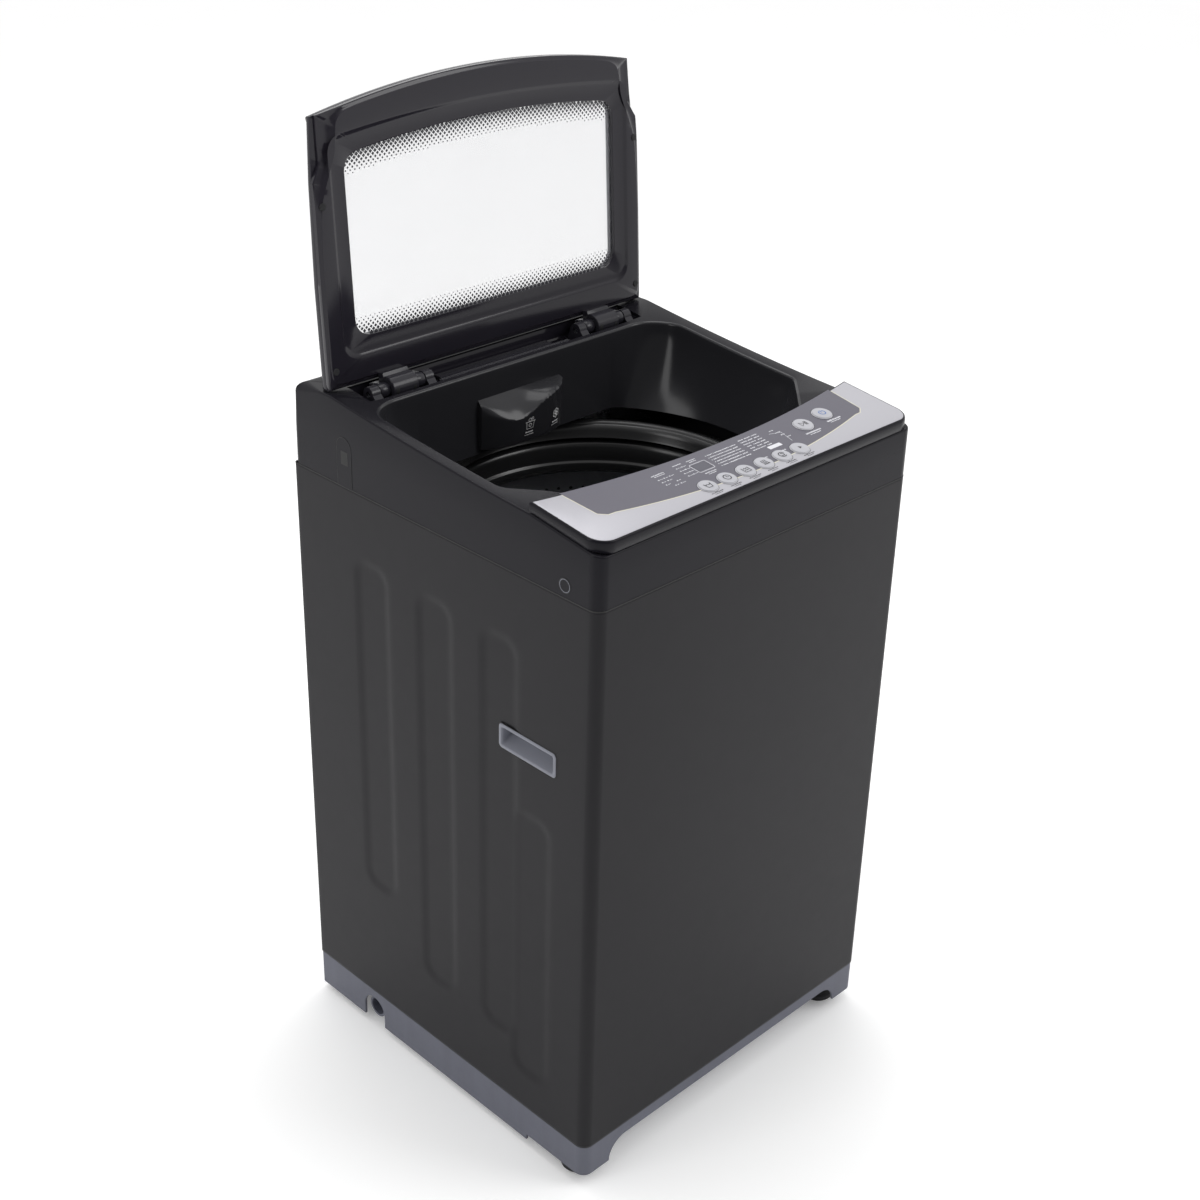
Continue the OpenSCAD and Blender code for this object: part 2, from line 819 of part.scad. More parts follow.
// Half outline of the lid from above, mirrored: local Y runs back, the rear edge lies at 0
function lid_side(inset) = [
    [lid_hw - 2 - inset, -inset], [lid_hw - inset, -lid_step],
    [lid_nose_hw - inset, -lid_step - 19], [lid_nose_hw - inset, -lid_len + lid_sagitta + inset]
];
function lid_arc(inset) =
    let (r = (pow(lid_nose_hw, 2) + pow(lid_sagitta, 2)) / (2 * lid_sagitta),
         a = asin((lid_nose_hw - inset) / r))
    [for (i = [1:19]) let (t = a * (1 - i / 10)) [r * sin(t), -lid_len + inset + r * (1 - cos(t))]];
function flipped(pts) = [for (i = [len(pts) - 1:-1:0]) [-pts[i][0], pts[i][1]]];

module lid_outline(inset = 0) {
    polygon(concat(lid_side(inset), lid_arc(inset), flipped(lid_side(inset))));
}

// Window outline with round corners and a bowed front edge
module window(grow = 0) {
    far = window_far + grow;
    hull() {
        for (s = [-1, 1]) {
            translate([s * (window_hw - window_r), -window_near - window_r])
                circle(window_r + grow, $fn = 32);
            translate([s * (window_hw - window_r), -window_far + window_r]) circle(window_r + grow, $fn = 32);
        }
        for (i = [-3:3]) translate([i * window_hw / 5, -far - 13 + 13 * pow(i / 4.4, 2) + 4])
            circle(4, $fn = 12);
    }
}

module on_lid(lift = 0) {
    translate([0, hinge_y, hinge_z]) rotate([-lid_open, 0, 0])
        translate([0, lid_rear_y - hinge_y, lid_rear_z - hinge_z])
        rotate([lid_slope, 0, 0]) translate([0, 0, lift]) children();
}

// Turns children drawn in the closed place to the open one
module opened() {
    translate([0, hinge_y, hinge_z]) rotate([-lid_open, 0, 0]) translate([0, -hinge_y, -hinge_z]) children();
}

module lid_liner() {
    color("#35343a") difference() {
        union() {
            on_lid() difference() {
                union() {
                    linear_extrude(height = liner_t) lid_outline(1.5);
                    linear_extrude(height = glass_low) window(14);
                }
                translate([0, 0, -1]) linear_extrude(height = glass_low + 2) window();
            }
            opened() both_sides() translate([knuckle_x - knuckle_w / 2, hinge_y, hinge_z]) {
                rotate([0, 90, 0]) cylinder(r = barrel_r, h = knuckle_w);
                translate([0, -18, 4]) cube([knuckle_w, 23, 11.5]);
            }
        }
        opened() both_sides() translate([knuckle_x - knuckle_w, hinge_y, hinge_z]) rotate([0, 90, 0])
            cylinder(r = hinge_pin_r + run_gap, h = 2 * knuckle_w);
    }
}

module lid_cover() {
    color("#323137") on_lid() difference() {
        translate([0, 0, liner_t]) linear_extrude(height = lid_t - liner_t) lid_outline();
        difference() {
            translate([0, 0, liner_t - 1]) linear_extrude(height = lid_t - liner_t - 1.5) lid_outline(3);
            linear_extrude(height = lid_t) window(14);
        }
        linear_extrude(height = glass_low + glass_t) window(14.2);
        linear_extrude(height = lid_t + 1) window(2);
    }
}

module lid_glass() {
    color([0.9, 0.93, 0.95, 0.35]) on_lid(glass_low) linear_extrude(height = glass_t) window(11);
}

module lid_buffers() {
    color("#1a1a1c") on_lid() both_sides() for (back = [40, lid_step - 20]) {
        y = lid_rear_y - back * cos(lid_slope);
        h = (lid_under(y) - crest(y)) * cos(lid_slope) - 0.5;
        translate([hw - rim_w / 2, -back, -h]) cylinder(r1 = 3.5, r2 = 6, h = h);
    }
}

module hinge_brackets() {
    color("#323136") both_sides() difference() {
        for (x = [knuckle_x - knuckle_w / 2 - ear_w - 1, knuckle_x + knuckle_w / 2 + 1])
            translate([x, 0, 0]) rotate([90, 0, 90]) linear_extrude(height = ear_w) {
                translate([hinge_y, hinge_z]) circle(9);
                polygon([
                    [hinge_y - 18, well_low], [hinge_y + 16, well_low], [hinge_y + 8.9, hinge_z - 1],
                    [hinge_y - 8.9, hinge_z + 1], [hinge_y - 16, hinge_z - 6]
                ]);
            }
        translate([knuckle_x - well_hw, hinge_y, hinge_z]) rotate([0, 90, 0])
            cylinder(r = hinge_pin_r + 0.02, h = 2 * well_hw);
    }
}

module hinge_pins() {
    pin_l = knuckle_w + 2 * ear_w - 2;
    color("#b9bbbe") both_sides() translate([knuckle_x - pin_l / 2, hinge_y, hinge_z]) rotate([0, 90, 0])
        cylinder(r = hinge_pin_r, h = pin_l);
}

// ---------- tub ----------

module outer_tub() {
    color("#d9dad8") difference() {
        union() {
            tube(tub_r, tub_in, tub_floor, tub_top);
            rod(tub_r, tub_floor, tub_floor + 4);
            tube(tub_r + 4, tub_in, tub_top - 8, tub_top - 4);
            four_corners(rod_x, rod_y) rod(ear_d, ear_z, ear_z + 14);
            for (sx = [-1, 1]) for (sy = [-1, 1]) ear_arm(sx, sy);
        }
        four_corners(rod_x, rod_y) rod(rod_r + 5, ear_z - 1, ear_z + 20);
        rod(spin_shaft_r + 12, tub_floor - 1, tub_floor + 10);
        translate([drain_at[0], drain_at[1], 0]) rod(20, tub_floor - 1, tub_floor + 10);
        rod(tub_in, tub_floor + 4, tub_top + 1);
    }
}

// The arm that carries one suspension ear
module ear_arm(sx, sy) {
    a = atan2(sy * rod_y, sx * rod_x);
    reach = sqrt(pow(rod_x, 2) + pow(rod_y, 2));
    rotate([0, 0, a]) translate([tub_in, -ear_d * 0.7, ear_z])
        cube([reach - tub_in - rod_r - 6, ear_d * 1.4, 14]);
}

module tub_cover() {
    t = 2.5;
    crest_r = tub_in - 24;
    lip_r = ring_in + 4;
    color("#2e2e31") rotate_extrude() polygon([
        [tub_r + 4.6, tub_top - 12], [tub_r + 7, tub_top - 12],
        [tub_r + 7, tub_top + 2], [tub_r, tub_top + 4],
        [crest_r + 10, tub_top + 9], [crest_r + 4, tub_top + 13.2], [crest_r, tub_top + 14],
        [crest_r - 4, tub_top + 12.5], [lip_r - 2, tub_top + 1], [lip_r - 4, tub_top - 6],
        [lip_r - 1.5, tub_top - 6], [lip_r + 1, tub_top + 0.5], [crest_r - 2, tub_top + 10.6],
        [crest_r + 2, tub_top + 11], [crest_r + 8, tub_top + 7], [tub_in, tub_top], [tub_r + 4.6, tub_top]
    ]);
}

module shaft_seal() {
    color("#2b2b2b") tube(spin_shaft_r + 12, spin_shaft_r + 0.3, tub_floor - 4, tub_floor + 8);
}

module gearbox() {
    color("#9b9da1") difference() {
        union() {
            rod(62, tub_floor - 80, tub_floor - 8);
            rod(80, tub_floor - 16, tub_floor - 8);
        }
        rod(spin_shaft_r + 14, tub_floor - 70, tub_floor);
        rod(wash_shaft_r + 2, tub_floor - 90, tub_floor);
    }
}

module spin_bearings() {
    color("#b9bbbe") for (z = [tub_floor - 69, tub_floor - 26])
        tube(spin_shaft_r + 14, spin_shaft_r + run_gap, z, z + 14);
}

module motor_bracket() {
    a = atan2(motor_pos[1], motor_pos[0]);
    color("#7d8085") difference() {
        union() {
            slab(tub_floor - 8, tub_floor - 4.2) rotate([0, 0, a]) square([430, 150], center = true);
            slab(tub_floor - 8, tub_floor) difference() {
                rotate([0, 0, a]) square([430, 150], center = true);
                rotate([0, 0, a]) square([424, 144], center = true);
            }
        }
        rod(spin_shaft_r + 13, tub_floor - 10, tub_floor + 1);
        translate([motor_pos[0], motor_pos[1], 0]) rod(20, tub_floor - 10, tub_floor + 1);
        translate([drain_at[0], drain_at[1], 0]) rod(30, tub_floor - 10, tub_floor + 1);
    }
}

module motor() {
    color("#8f9195") translate([motor_pos[0], motor_pos[1], 0]) difference() {
        union() {
            rod(58, tub_floor - 98, tub_floor - 22);
            tube(61, 40, tub_floor - 74, tub_floor - 46);
            for (k = [0:3]) rotate([0, 0, 45 + 90 * k]) translate([48, 0, 0])
                rod(6, tub_floor - 24, tub_floor - 8);
        }
        rod(7 + run_gap, tub_floor - 100, tub_floor - 30);
    }
}

// Belt loop outline round both pulleys, grown by grow from the pulleys' groove radius
module belt_loop(grow) {
    hull() {
        circle(big_pulley_r + grow, $fn = 96);
        translate(motor_pos) circle(small_pulley_r + grow, $fn = 48);
    }
}

module drive_belt() {
    color("#1d1d1f") slab(pulley_z, pulley_z + belt_h) difference() {
        belt_loop(5);
        belt_loop(0.5);
    }
}

module pulley(r, bore_r) {
    color("#a9abae") difference() {
        union() {
            rod(r, pulley_z - 1, pulley_z + belt_h + 1);
            rod(r + 7, pulley_z - 4, pulley_z - 0.6);
            rod(r + 7, pulley_z + belt_h + 0.6, pulley_z + belt_h + 4);
        }
        rod(bore_r, pulley_z - 10, pulley_z + 30);
        if (r > 50) for (k = [0:4]) rotate([0, 0, 72 * k])
            translate([r * 0.55, 0, 0]) rod(r * 0.22, pulley_z - 10, pulley_z + 30);
    }
}

module large_pulley() {
    pulley(big_pulley_r, wash_shaft_r);
}

module motor_pulley() {
    translate([motor_pos[0], motor_pos[1], 0]) {
        pulley(small_pulley_r, 6.9);
        color("#b9bbbe") rod(7, pulley_z - 8, tub_floor - 40);
    }
}

// Valve under the tub, with its drive beside it and a port towards the outlet
module drain_valve() {
    color("#3b3b3f") translate([drain_at[0], drain_at[1], 0]) difference() {
        union() {
            rod(20, tub_floor - 12, tub_floor + 3);
            rod(28, tub_floor - 62, tub_floor - 12);
            translate([-22, -58, tub_floor - 56]) cube([44, 44, 36]);
            translate([0, 0, drain_level]) rotate([0, 90, drain_heading]) cylinder(r = hose_bore, h = 42);
        }
        rod(13, drain_level - 4, tub_floor + 4);
        translate([0, 0, drain_level]) rotate([0, 90, drain_heading]) cylinder(r = 8, h = 44);
    }
}

// Hose from the valve, down into the outlet's socket, with ribs on its upright part
module drain_hose() {
    run = norm(drain_way);
    low = drain_z + 33 + tub_sink;
    color("#4a4a4f") translate([drain_turn[0], drain_turn[1], 0]) difference() {
        union() {
            translate([0, 0, drain_level]) rotate([0, -90, drain_heading])
                cylinder(r = hose_r, h = run - 28.4);
            translate([0, 0, drain_level]) sphere(r = hose_r + 2);
            rod(hose_r, low, drain_level);
            rod(socket_r - 0.1, low, low + 5);
            for (k = [0:5]) rod(hose_r + 2, z0 + 46 + 12 * k, z0 + 51 + 12 * k);
        }
        translate([0, 0, drain_level]) rotate([0, -90, drain_heading]) cylinder(r = hose_bore, h = run);
        rod(hose_bore - 0.5, z0, drain_level + 4);
    }
}

// Elbow in the base: a socket for the inner hose and a spigot that faces out through the notch
module drain_outlet() {
    color("#55565c") difference() {
        union() {
            translate([drain_turn[0], drain_turn[1], 0]) {
                rod(socket_r + 3, drain_z, z0 + 34);
                rod(socket_r + 7, z0 - 3, z0);
                translate([0, 0, drain_z]) sphere(r = min(socket_r + 3, drain_z - 2));
            }
            translate([-hw + 6, notch_y, drain_z]) rotate([0, 90, 0]) cylinder(r = drain_r, h = 40);
            translate([-hw + 22, notch_y, drain_z]) rotate([0, 90, 0]) cylinder(r = drain_r + 2.5, h = 4);
        }
        translate([drain_turn[0], drain_turn[1], 0]) rod(socket_r, drain_z, z0 + 40);
        translate([-hw + 1, notch_y, drain_z]) rotate([0, 90, 0]) cylinder(r = drain_r - 3, h = 44);
    }
}

// ---------- basket ----------

module spin_basket() {
    hole_r = 3;
    color("#b4b6b8") difference() {
        tube(basket_r, basket_r - basket_wall, basket_low + 14, ring_top - ring_h);
        for (k = [0:11]) for (j = [0:2]) rotate([0, 0, 30 * k + 15])
            translate([basket_r - 10, 0, basket_low + 90 + 110 * j]) rotate([0, 90, 0])
                cylinder(r = hole_r, h = 20);
    }
}

module basket_base() {
    color("#cfd0ce") difference() {
        union() {
            rod(basket_r - basket_wall, basket_low + 8, basket_low + 22);
            rod(60, basket_low - 16, basket_low + 9);
            for (k = [0:5]) rotate([0, 0, 60 * k]) translate([50, -4, basket_low - 6])
                cube([basket_r - 70, 8, 15]);
        }
        rod(basket_r - basket_wall - 6, basket_low + 12, basket_low + 30);
        rod(spin_shaft_r, basket_low - 30, basket_low + 30);
    }
}

module balance_ring() {
    outer = basket_r + 3;
    low = ring_top - ring_h;
    color("#303034") rotate_extrude() difference() {
        polygon([
            [ring_in + 8, low], [outer, low], [outer, ring_top - 4],
            [outer - 5, ring_top], [ring_in + 8, ring_top],
            [ring_in + 2, ring_top - 4], [ring_in, ring_top - 12], [ring_in + 3, low + 8]
        ]);
        translate([ring_in + 9, low + 3]) square([outer - ring_in - 13, ring_h - 12]);
    }
}

module lint_filters() {
    depth = 14;
    half_w = 32;
    reach = sqrt(pow(basket_r - basket_wall - 0.5, 2) - pow(half_w, 2));
    color("#4a4b50") for (a = [30, 150, 270]) rotate([0, 0, a])
        translate([reach - depth, -half_w, basket_low + 60]) difference() {
            cube([depth, 2 * half_w, 130]);
            for (j = [0:4]) translate([-1, 8, 14 + 22 * j]) cube([7, 2 * half_w - 16, 10]);
        }
}

module spin_shaft() {
    color("#c3c5c8") difference() {
        union() {
            rod(spin_shaft_r, tub_floor - 68, basket_low + 16);
            rod(34, basket_low + 12, basket_low + 16);
        }
        rod(wash_shaft_r + run_gap, tub_floor - 80, basket_low + 40);
    }
}

// ---------- pulsator ----------

module pulsator_disc() {
    dome = 12;
    low = basket_low + 30;
    sweep = 6;
    color("#4b4c52") difference() {
        union() {
            rotate_extrude() polygon([
                [0, low], [pulsator - 10, low], [pulsator, low + 4], [pulsator - 2, low + 7],
                [pulsator * 0.6, low + 8], [40, low + dome + 3], [26, low + 22], [0, low + 25]
            ]);
            for (k = [0:sweep - 1]) rotate([0, 0, 360 / sweep * k]) vane(low);
        }
        rod(wash_shaft_r, low - 1, shaft_top + 8);
    }
}

// One upright vane of the pulsator, thicker at its foot
module vane(low) {
    translate([28, 0, 0]) rotate([90, 0, 0]) linear_extrude(height = 9, center = true) polygon([
        [0, low + 5], [pulsator - 44, low + 5], [pulsator - 46, low + 14],
        [pulsator * 0.4, low + 24], [0, low + 22]
    ]);
}

module pulsator_shaft() {
    color("#c3c5c8") rod(wash_shaft_r, pulley_z - 8, shaft_top + 8);
}

// ---------- suspension ----------

module corner_brackets() {
    color("#8b8d90") for (sx = [0, 1]) for (sy = [0, 1]) mirror([sx, 0, 0]) mirror([0, sy, 0])
        difference() {
            slab(hang_z, hang_z + 3) polygon([
                [hw - sheet_t, hd - 90], [hw - sheet_t, hd - 20], [hw - 20, hd - 2 * sheet_t],
                [hw - 90, hd - 2 * sheet_t], [hw - 74, hd - 60], [hw - 60, hd - 74]
            ]);
            translate([rod_x, rod_y, 0]) rod(rod_r + 0.1, hang_z - 1, hang_z + 5);
        }
}

module suspension_rods() {
    color("#9da0a4") four_corners(rod_x, rod_y) {
        rod(rod_r, spring_low - 12, hang_z + 8);
        rod(9, hang_z + 3, hang_z + 9);
        rod(14, spring_low - 6, spring_low);
    }
}

module suspension_springs() {
    color("#6c6f74") four_corners(rod_x, rod_y) tube(spring_r, rod_r + 1.5, spring_low, ear_z);
}

// ---------- small parts on the floor of the cabinet ----------

module run_capacitor() {
    color("#d0d0cc") translate([hw - 70, hd - 60, z0 - 1]) {
        rod(22, 0, 80);
        rod(8, 80, 88);
        translate([-30, -30, -2]) cube([60, 60, 2.5]);
    }
}

cabinet_shell();
back_panel();
base_frame();
rear_feet();
foot_left();
foot_right();
top_frame();
side_clips();
screw_caps();
side_handles();
panel_body();
panel_fascia();
panel_insert();
display_window();
control_board();
button_program();
button_water();
button_wash();
button_rinse();
button_spin();
button_delay();
button_start();
button_power();
dispenser_housing();
detergent_drawer();
inlet_valve();
water_level_sensor();
lid_sensor();
hinge_brackets();
hinge_pins();
lid_cover();
lid_liner();
lid_glass();
lid_buffers();
outer_tub();
tub_cover();
motor();
motor_bracket();
gearbox();
spin_bearings();
shaft_seal();
drive_belt();
drain_valve();
drain_hose();
spin_basket();
basket_base();
balance_ring();
lint_filters();
spin_shaft();
pulsator_disc();
pulsator_shaft();
large_pulley();
motor_pulley();
corner_brackets();
suspension_rods();
suspension_springs();
drain_outlet();
run_capacitor();
cord_gland();
rear_screws();
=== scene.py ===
"""Top load washing machine: finishes, detailed pieces, light and camera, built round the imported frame."""

from __future__ import annotations

import json
import logging
import math
from dataclasses import dataclass, field
from enum import Enum
from typing import Any, Callable, Iterable, Sequence

import bmesh
import bpy
import numpy as np
from mathutils import Matrix, Vector

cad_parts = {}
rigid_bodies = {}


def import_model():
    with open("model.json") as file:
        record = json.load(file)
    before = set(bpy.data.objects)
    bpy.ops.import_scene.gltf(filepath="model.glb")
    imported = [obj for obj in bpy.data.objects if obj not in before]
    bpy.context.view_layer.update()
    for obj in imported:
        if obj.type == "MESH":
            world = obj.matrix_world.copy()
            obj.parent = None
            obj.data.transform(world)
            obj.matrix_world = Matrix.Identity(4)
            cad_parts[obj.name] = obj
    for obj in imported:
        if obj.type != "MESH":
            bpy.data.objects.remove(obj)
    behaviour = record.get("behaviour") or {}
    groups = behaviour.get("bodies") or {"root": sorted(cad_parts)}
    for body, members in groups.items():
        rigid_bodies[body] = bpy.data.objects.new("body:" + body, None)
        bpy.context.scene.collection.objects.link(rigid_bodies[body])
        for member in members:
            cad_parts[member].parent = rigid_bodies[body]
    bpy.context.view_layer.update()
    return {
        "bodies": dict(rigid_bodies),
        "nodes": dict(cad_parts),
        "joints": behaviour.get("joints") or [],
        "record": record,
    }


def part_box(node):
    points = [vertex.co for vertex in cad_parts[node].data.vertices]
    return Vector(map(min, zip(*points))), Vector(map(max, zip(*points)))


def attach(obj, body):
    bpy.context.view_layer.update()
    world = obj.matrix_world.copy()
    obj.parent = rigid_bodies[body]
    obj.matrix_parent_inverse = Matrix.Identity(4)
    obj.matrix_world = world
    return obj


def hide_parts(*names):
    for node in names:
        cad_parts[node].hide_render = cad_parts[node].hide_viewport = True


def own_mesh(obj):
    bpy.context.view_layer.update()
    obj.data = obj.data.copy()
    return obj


LOG = logging.getLogger("washer")
MM = 0.001
TINY = 1e-9
Flat = tuple[float, float]
Solid = tuple[float, float, float]
Colour = tuple[float, float, float, float]


def shade(code: str) -> Colour:
    """Turn a hexadecimal sRGB colour into linear light.

    Args:
        code: six hexadecimal digits.

    Returns:
        Red, green, blue and alpha.
    """
    parts = [int(code[i:i + 2], 16) / 255 for i in (0, 2, 4)]
    linear = [c / 12.92 if c <= 0.04045 else ((c + 0.055) / 1.055) ** 2.4 for c in parts]
    return (linear[0], linear[1], linear[2], 1.0)


def tinted(colour: Colour, factor: float) -> Colour:
    """Return a lighter or darker copy of a colour, kept within range."""
    red, green, blue = (min(1.0, c * factor) for c in colour[:3])
    return (red, green, blue, 1.0)


# ---------------------------------------------------------------- shader graph


class Value:
    """A shader socket that takes part in Python arithmetic."""

    def __init__(self, graph: "Graph", socket: bpy.types.NodeSocket) -> None:
        """Keep the graph and the socket."""
        self.graph = graph
        self.socket = socket

    def _math(self, operation: str, first: Any, second: Any) -> "Value":
        """Add a Math node for two terms."""
        return self.graph.node("ShaderNodeMath", {"operation": operation}, {0: first, 1: second})

    def __add__(self, other: Any) -> "Value":
        """Sum."""
        return self._math("ADD", self, other)

    def __radd__(self, other: Any) -> "Value":
        """Reflected sum."""
        return self._math("ADD", other, self)

    def __sub__(self, other: Any) -> "Value":
        """Difference."""
        return self._math("SUBTRACT", self, other)

    def __rsub__(self, other: Any) -> "Value":
        """Reflected difference."""
        return self._math("SUBTRACT", other, self)

    def __mul__(self, other: Any) -> "Value":
        """Product."""
        return self._math("MULTIPLY", self, other)

    def __rmul__(self, other: Any) -> "Value":
        """Reflected product."""
        return self._math("MULTIPLY", other, self)

    def __truediv__(self, other: Any) -> "Value":
        """Quotient."""
        return self._math("DIVIDE", self, other)

    def __pow__(self, other: Any) -> "Value":
        """Power."""
        return self._math("POWER", self, other)

    def __lt__(self, other: Any) -> "Value":
        """One where this value is the smaller."""
        return self._math("LESS_THAN", self, other)

    def __gt__(self, other: Any) -> "Value":
        """One where this value is the larger."""
        return self._math("GREATER_THAN", self, other)


class Graph:
    """The node tree of one material."""

    def __init__(self, name: str) -> None:
        """Start an empty material with its output.

        Args:
            name: the material's name.
        """
        self.material = bpy.data.materials.new(name)
        self.material.use_nodes = True
        self.tree = self.material.node_tree
        self.tree.nodes.clear()
        self.output = self.tree.nodes.new("ShaderNodeOutputMaterial")

    def node(self, kind: str, settings: dict[str, Any] | None = None, inputs: dict[Any, Any] | None = None,
             out: Any = 0) -> Value:
        """Add any node: its settings first, then the values or links of its sockets.

        Args:
            kind: the node's type.
            settings: properties of the node; "stops" fills a colour ramp.
            inputs: a value, a colour or another Value for each socket's name or number.
            out: the name or number of the socket that is handed back.

        Returns:
            The chosen output.
        """
        made = self.tree.nodes.new(kind)
        for key, what in (settings or {}).items():
            if key == "stops":
                ramp = made.color_ramp
                while len(ramp.elements) < len(what):
                    ramp.elements.new(0.5)
                for element, (place, colour) in zip(ramp.elements, what):
                    element.position = place
                    element.color = colour
            else:
                setattr(made, key, what)
        for key, what in (inputs or {}).items():
            if isinstance(what, Value):
                self.tree.links.new(what.socket, made.inputs[key])
            else:
                made.inputs[key].default_value = what
        return Value(self, made.outputs[out])

    def place(self) -> Value:
        """Return the surface point in metres."""
        return self.node("ShaderNodeTexCoord", out="Object")

    def axes(self) -> tuple[Value, Value, Value]:
        """Return the surface point's three numbers.

        Returns:
            The values across, along and up.
        """
        split = self.node("ShaderNodeSeparateXYZ", inputs={0: self.place()})
        sockets = split.socket.node.outputs
        return Value(self, sockets[0]), Value(self, sockets[1]), Value(self, sockets[2])

    def noise(self, scale: float, detail: float = 3.0, stretch: Solid = (1.0, 1.0, 1.0),
              rough: float = 0.5) -> Value:
        """Return noise from 0 to 1.

        Args:
            scale: features per metre.
            detail: octaves.
            stretch: factor on each axis.
            rough: weight of the finer octaves.

        Returns:
            The noise.
        """
        point = self.node("ShaderNodeMapping", inputs={"Vector": self.place(), "Scale": stretch})
        return self.node("ShaderNodeTexNoise", inputs={
            "Vector": point, "Scale": scale, "Detail": detail, "Roughness": rough})

    def mix(self, share: Any, low: Any, high: Any) -> Value:
        """Blend two colours by a share from 0 to 1."""
        return self.node("ShaderNodeMix", {"data_type": "RGBA"}, {0: share, 6: low, 7: high}, out=2)

    def ramp(self, value: Value, low: float, high: float) -> Value:
        """Return a smooth step of a value between two limits."""
        return self.node("ShaderNodeMapRange", {"interpolation_type": "SMOOTHSTEP"},
                         {0: value, 1: low, 2: high})

    def bump(self, height: Value, depth: float, strength: float = 1.0) -> Value:
        """Return a normal bent by a height map of the given depth in metres."""
        return self.node("ShaderNodeBump", inputs={"Height": height, "Distance": depth, "Strength": strength})

    def surface(self, sockets: dict[str, Any]) -> bpy.types.Material:
        """Finish the material with one Principled surface.

        Args:
            sockets: values, colours or links for the surface's sockets.

        Returns:
            The material.
        """
        shader = self.node("ShaderNodeBsdfPrincipled", inputs=sockets, out="BSDF")
        self.tree.links.new(shader.socket, self.output.inputs["Surface"])
        return self.material


# ---------------------------------------------------------------- finishes


@dataclass(frozen=True)
class SatinPaint:
    """Powder coat on steel: a fine orange peel and slow changes of tone."""

    name: str = "satin_charcoal_paint"
    colour: str = "1f1e21"
    roughness: float = 0.42

    def make(self) -> bpy.types.Material:
        """Build the material.

        Returns:
            The material.
        """
        g = Graph(self.name)
        base = shade(self.colour)
        slow = g.noise(5.0, 2.0)
        grain = g.noise(900.0, 2.0)
        tone = g.mix(slow * 0.5 + grain * 0.12, tinted(base, 0.9), tinted(base, 1.12))
        return g.surface({
            "Base Color": tone, "Roughness": self.roughness + 0.06 * g.noise(60.0, 3.0),
            "Specular IOR Level": 0.17, "Normal": g.bump(grain, 0.00006, 0.6)})


@dataclass(frozen=True)
class Moulded:
    """Injection moulded plastic, from matte grain to high gloss."""

    name: str
    colour: str
    roughness: float = 0.4
    grain: float = 0.4
    grain_scale: float = 1400.0
    streaks: float = 0.0
    variation: float = 0.06
    specular: float = 0.5

    def make(self) -> bpy.types.Material:
        """Build the material.

        Returns:
            The material.
        """
        g = Graph(self.name)
        base = shade(self.colour)
        dark, light = tinted(base, 1 - self.variation), tinted(base, 1 + self.variation)
        grain = g.noise(self.grain_scale, 2.0)
        cloud = g.noise(14.0, 3.0)
        share = 0.3 * grain + 0.7 * cloud
        if self.streaks:
            share = share + self.streaks * (g.noise(60.0, 3.0, (1.0, 1.0, 0.05)) - 0.5)
        rough = self.roughness * (0.85 + 0.3 * g.noise(90.0, 4.0, rough=0.7))
        return g.surface({
            "Base Color": g.mix(share, dark, light), "Roughness": rough,
            "Specular IOR Level": self.specular, "Normal": g.bump(grain, 0.00005, self.grain)})


@dataclass(frozen=True)
class MetallicPaint:
    """Fine aluminium flake under a satin lacquer."""

    name: str = "silver_panel_paint"
    colour: str = "b1b0b6"

    def make(self) -> bpy.types.Material:
        """Build the material.

        Returns:
            The material.
        """
        g = Graph(self.name)
        base = shade(self.colour)
        flake = g.noise(2600.0, 1.0)
        tone = g.mix(flake, tinted(base, 0.9), tinted(base, 1.08))
        return g.surface({
            "Base Color": tone, "Roughness": 0.36 + 0.1 * flake, "Metallic": 0.25,
            "Normal": g.bump(flake, 0.00002, 0.3)})


@dataclass(frozen=True)
class BrushedMetal:
    """Rolled, turned or cast metal with a grain along one axis."""

    name: str
    colour: str = "b9bbbe"
    roughness: float = 0.34
    stretch: Solid = (1.0, 1.0, 12.0)
    scale: float = 220.0
    depth: float = 0.00003

    def make(self) -> bpy.types.Material:
        """Build the material.

        Returns:
            The material.
        """
        g = Graph(self.name)
        base = shade(self.colour)
        grain = g.noise(self.scale, 4.0, self.stretch, 0.65)
        tone = g.mix(grain, tinted(base, 0.8), tinted(base, 1.12))
        return g.surface({
            "Base Color": tone, "Roughness": self.roughness * (0.7 + 0.6 * grain), "Metallic": 1.0,
            "Normal": g.bump(grain, self.depth, 0.7)})


@dataclass(frozen=True)
class Spangle:
    """Zinc coated sheet with its crystal pattern."""

    name: str = "zinc_sheet"

    def make(self) -> bpy.types.Material:
        """Build the material.

        Returns:
            The material.
        """
        g = Graph(self.name)
        cells = g.node("ShaderNodeTexVoronoi", inputs={"Vector": g.place(), "Scale": 190.0}, out="Color")
        tint = g.node("ShaderNodeSeparateXYZ", inputs={0: cells})
        tone = g.mix(tint, shade("94979b"), shade("a2a5a9"))
        return g.surface({
            "Base Color": tone, "Metallic": 0.9, "Roughness": 0.36 + 0.16 * tint,
            "Normal": g.bump(g.noise(300.0, 3.0), 0.00003, 0.5)})


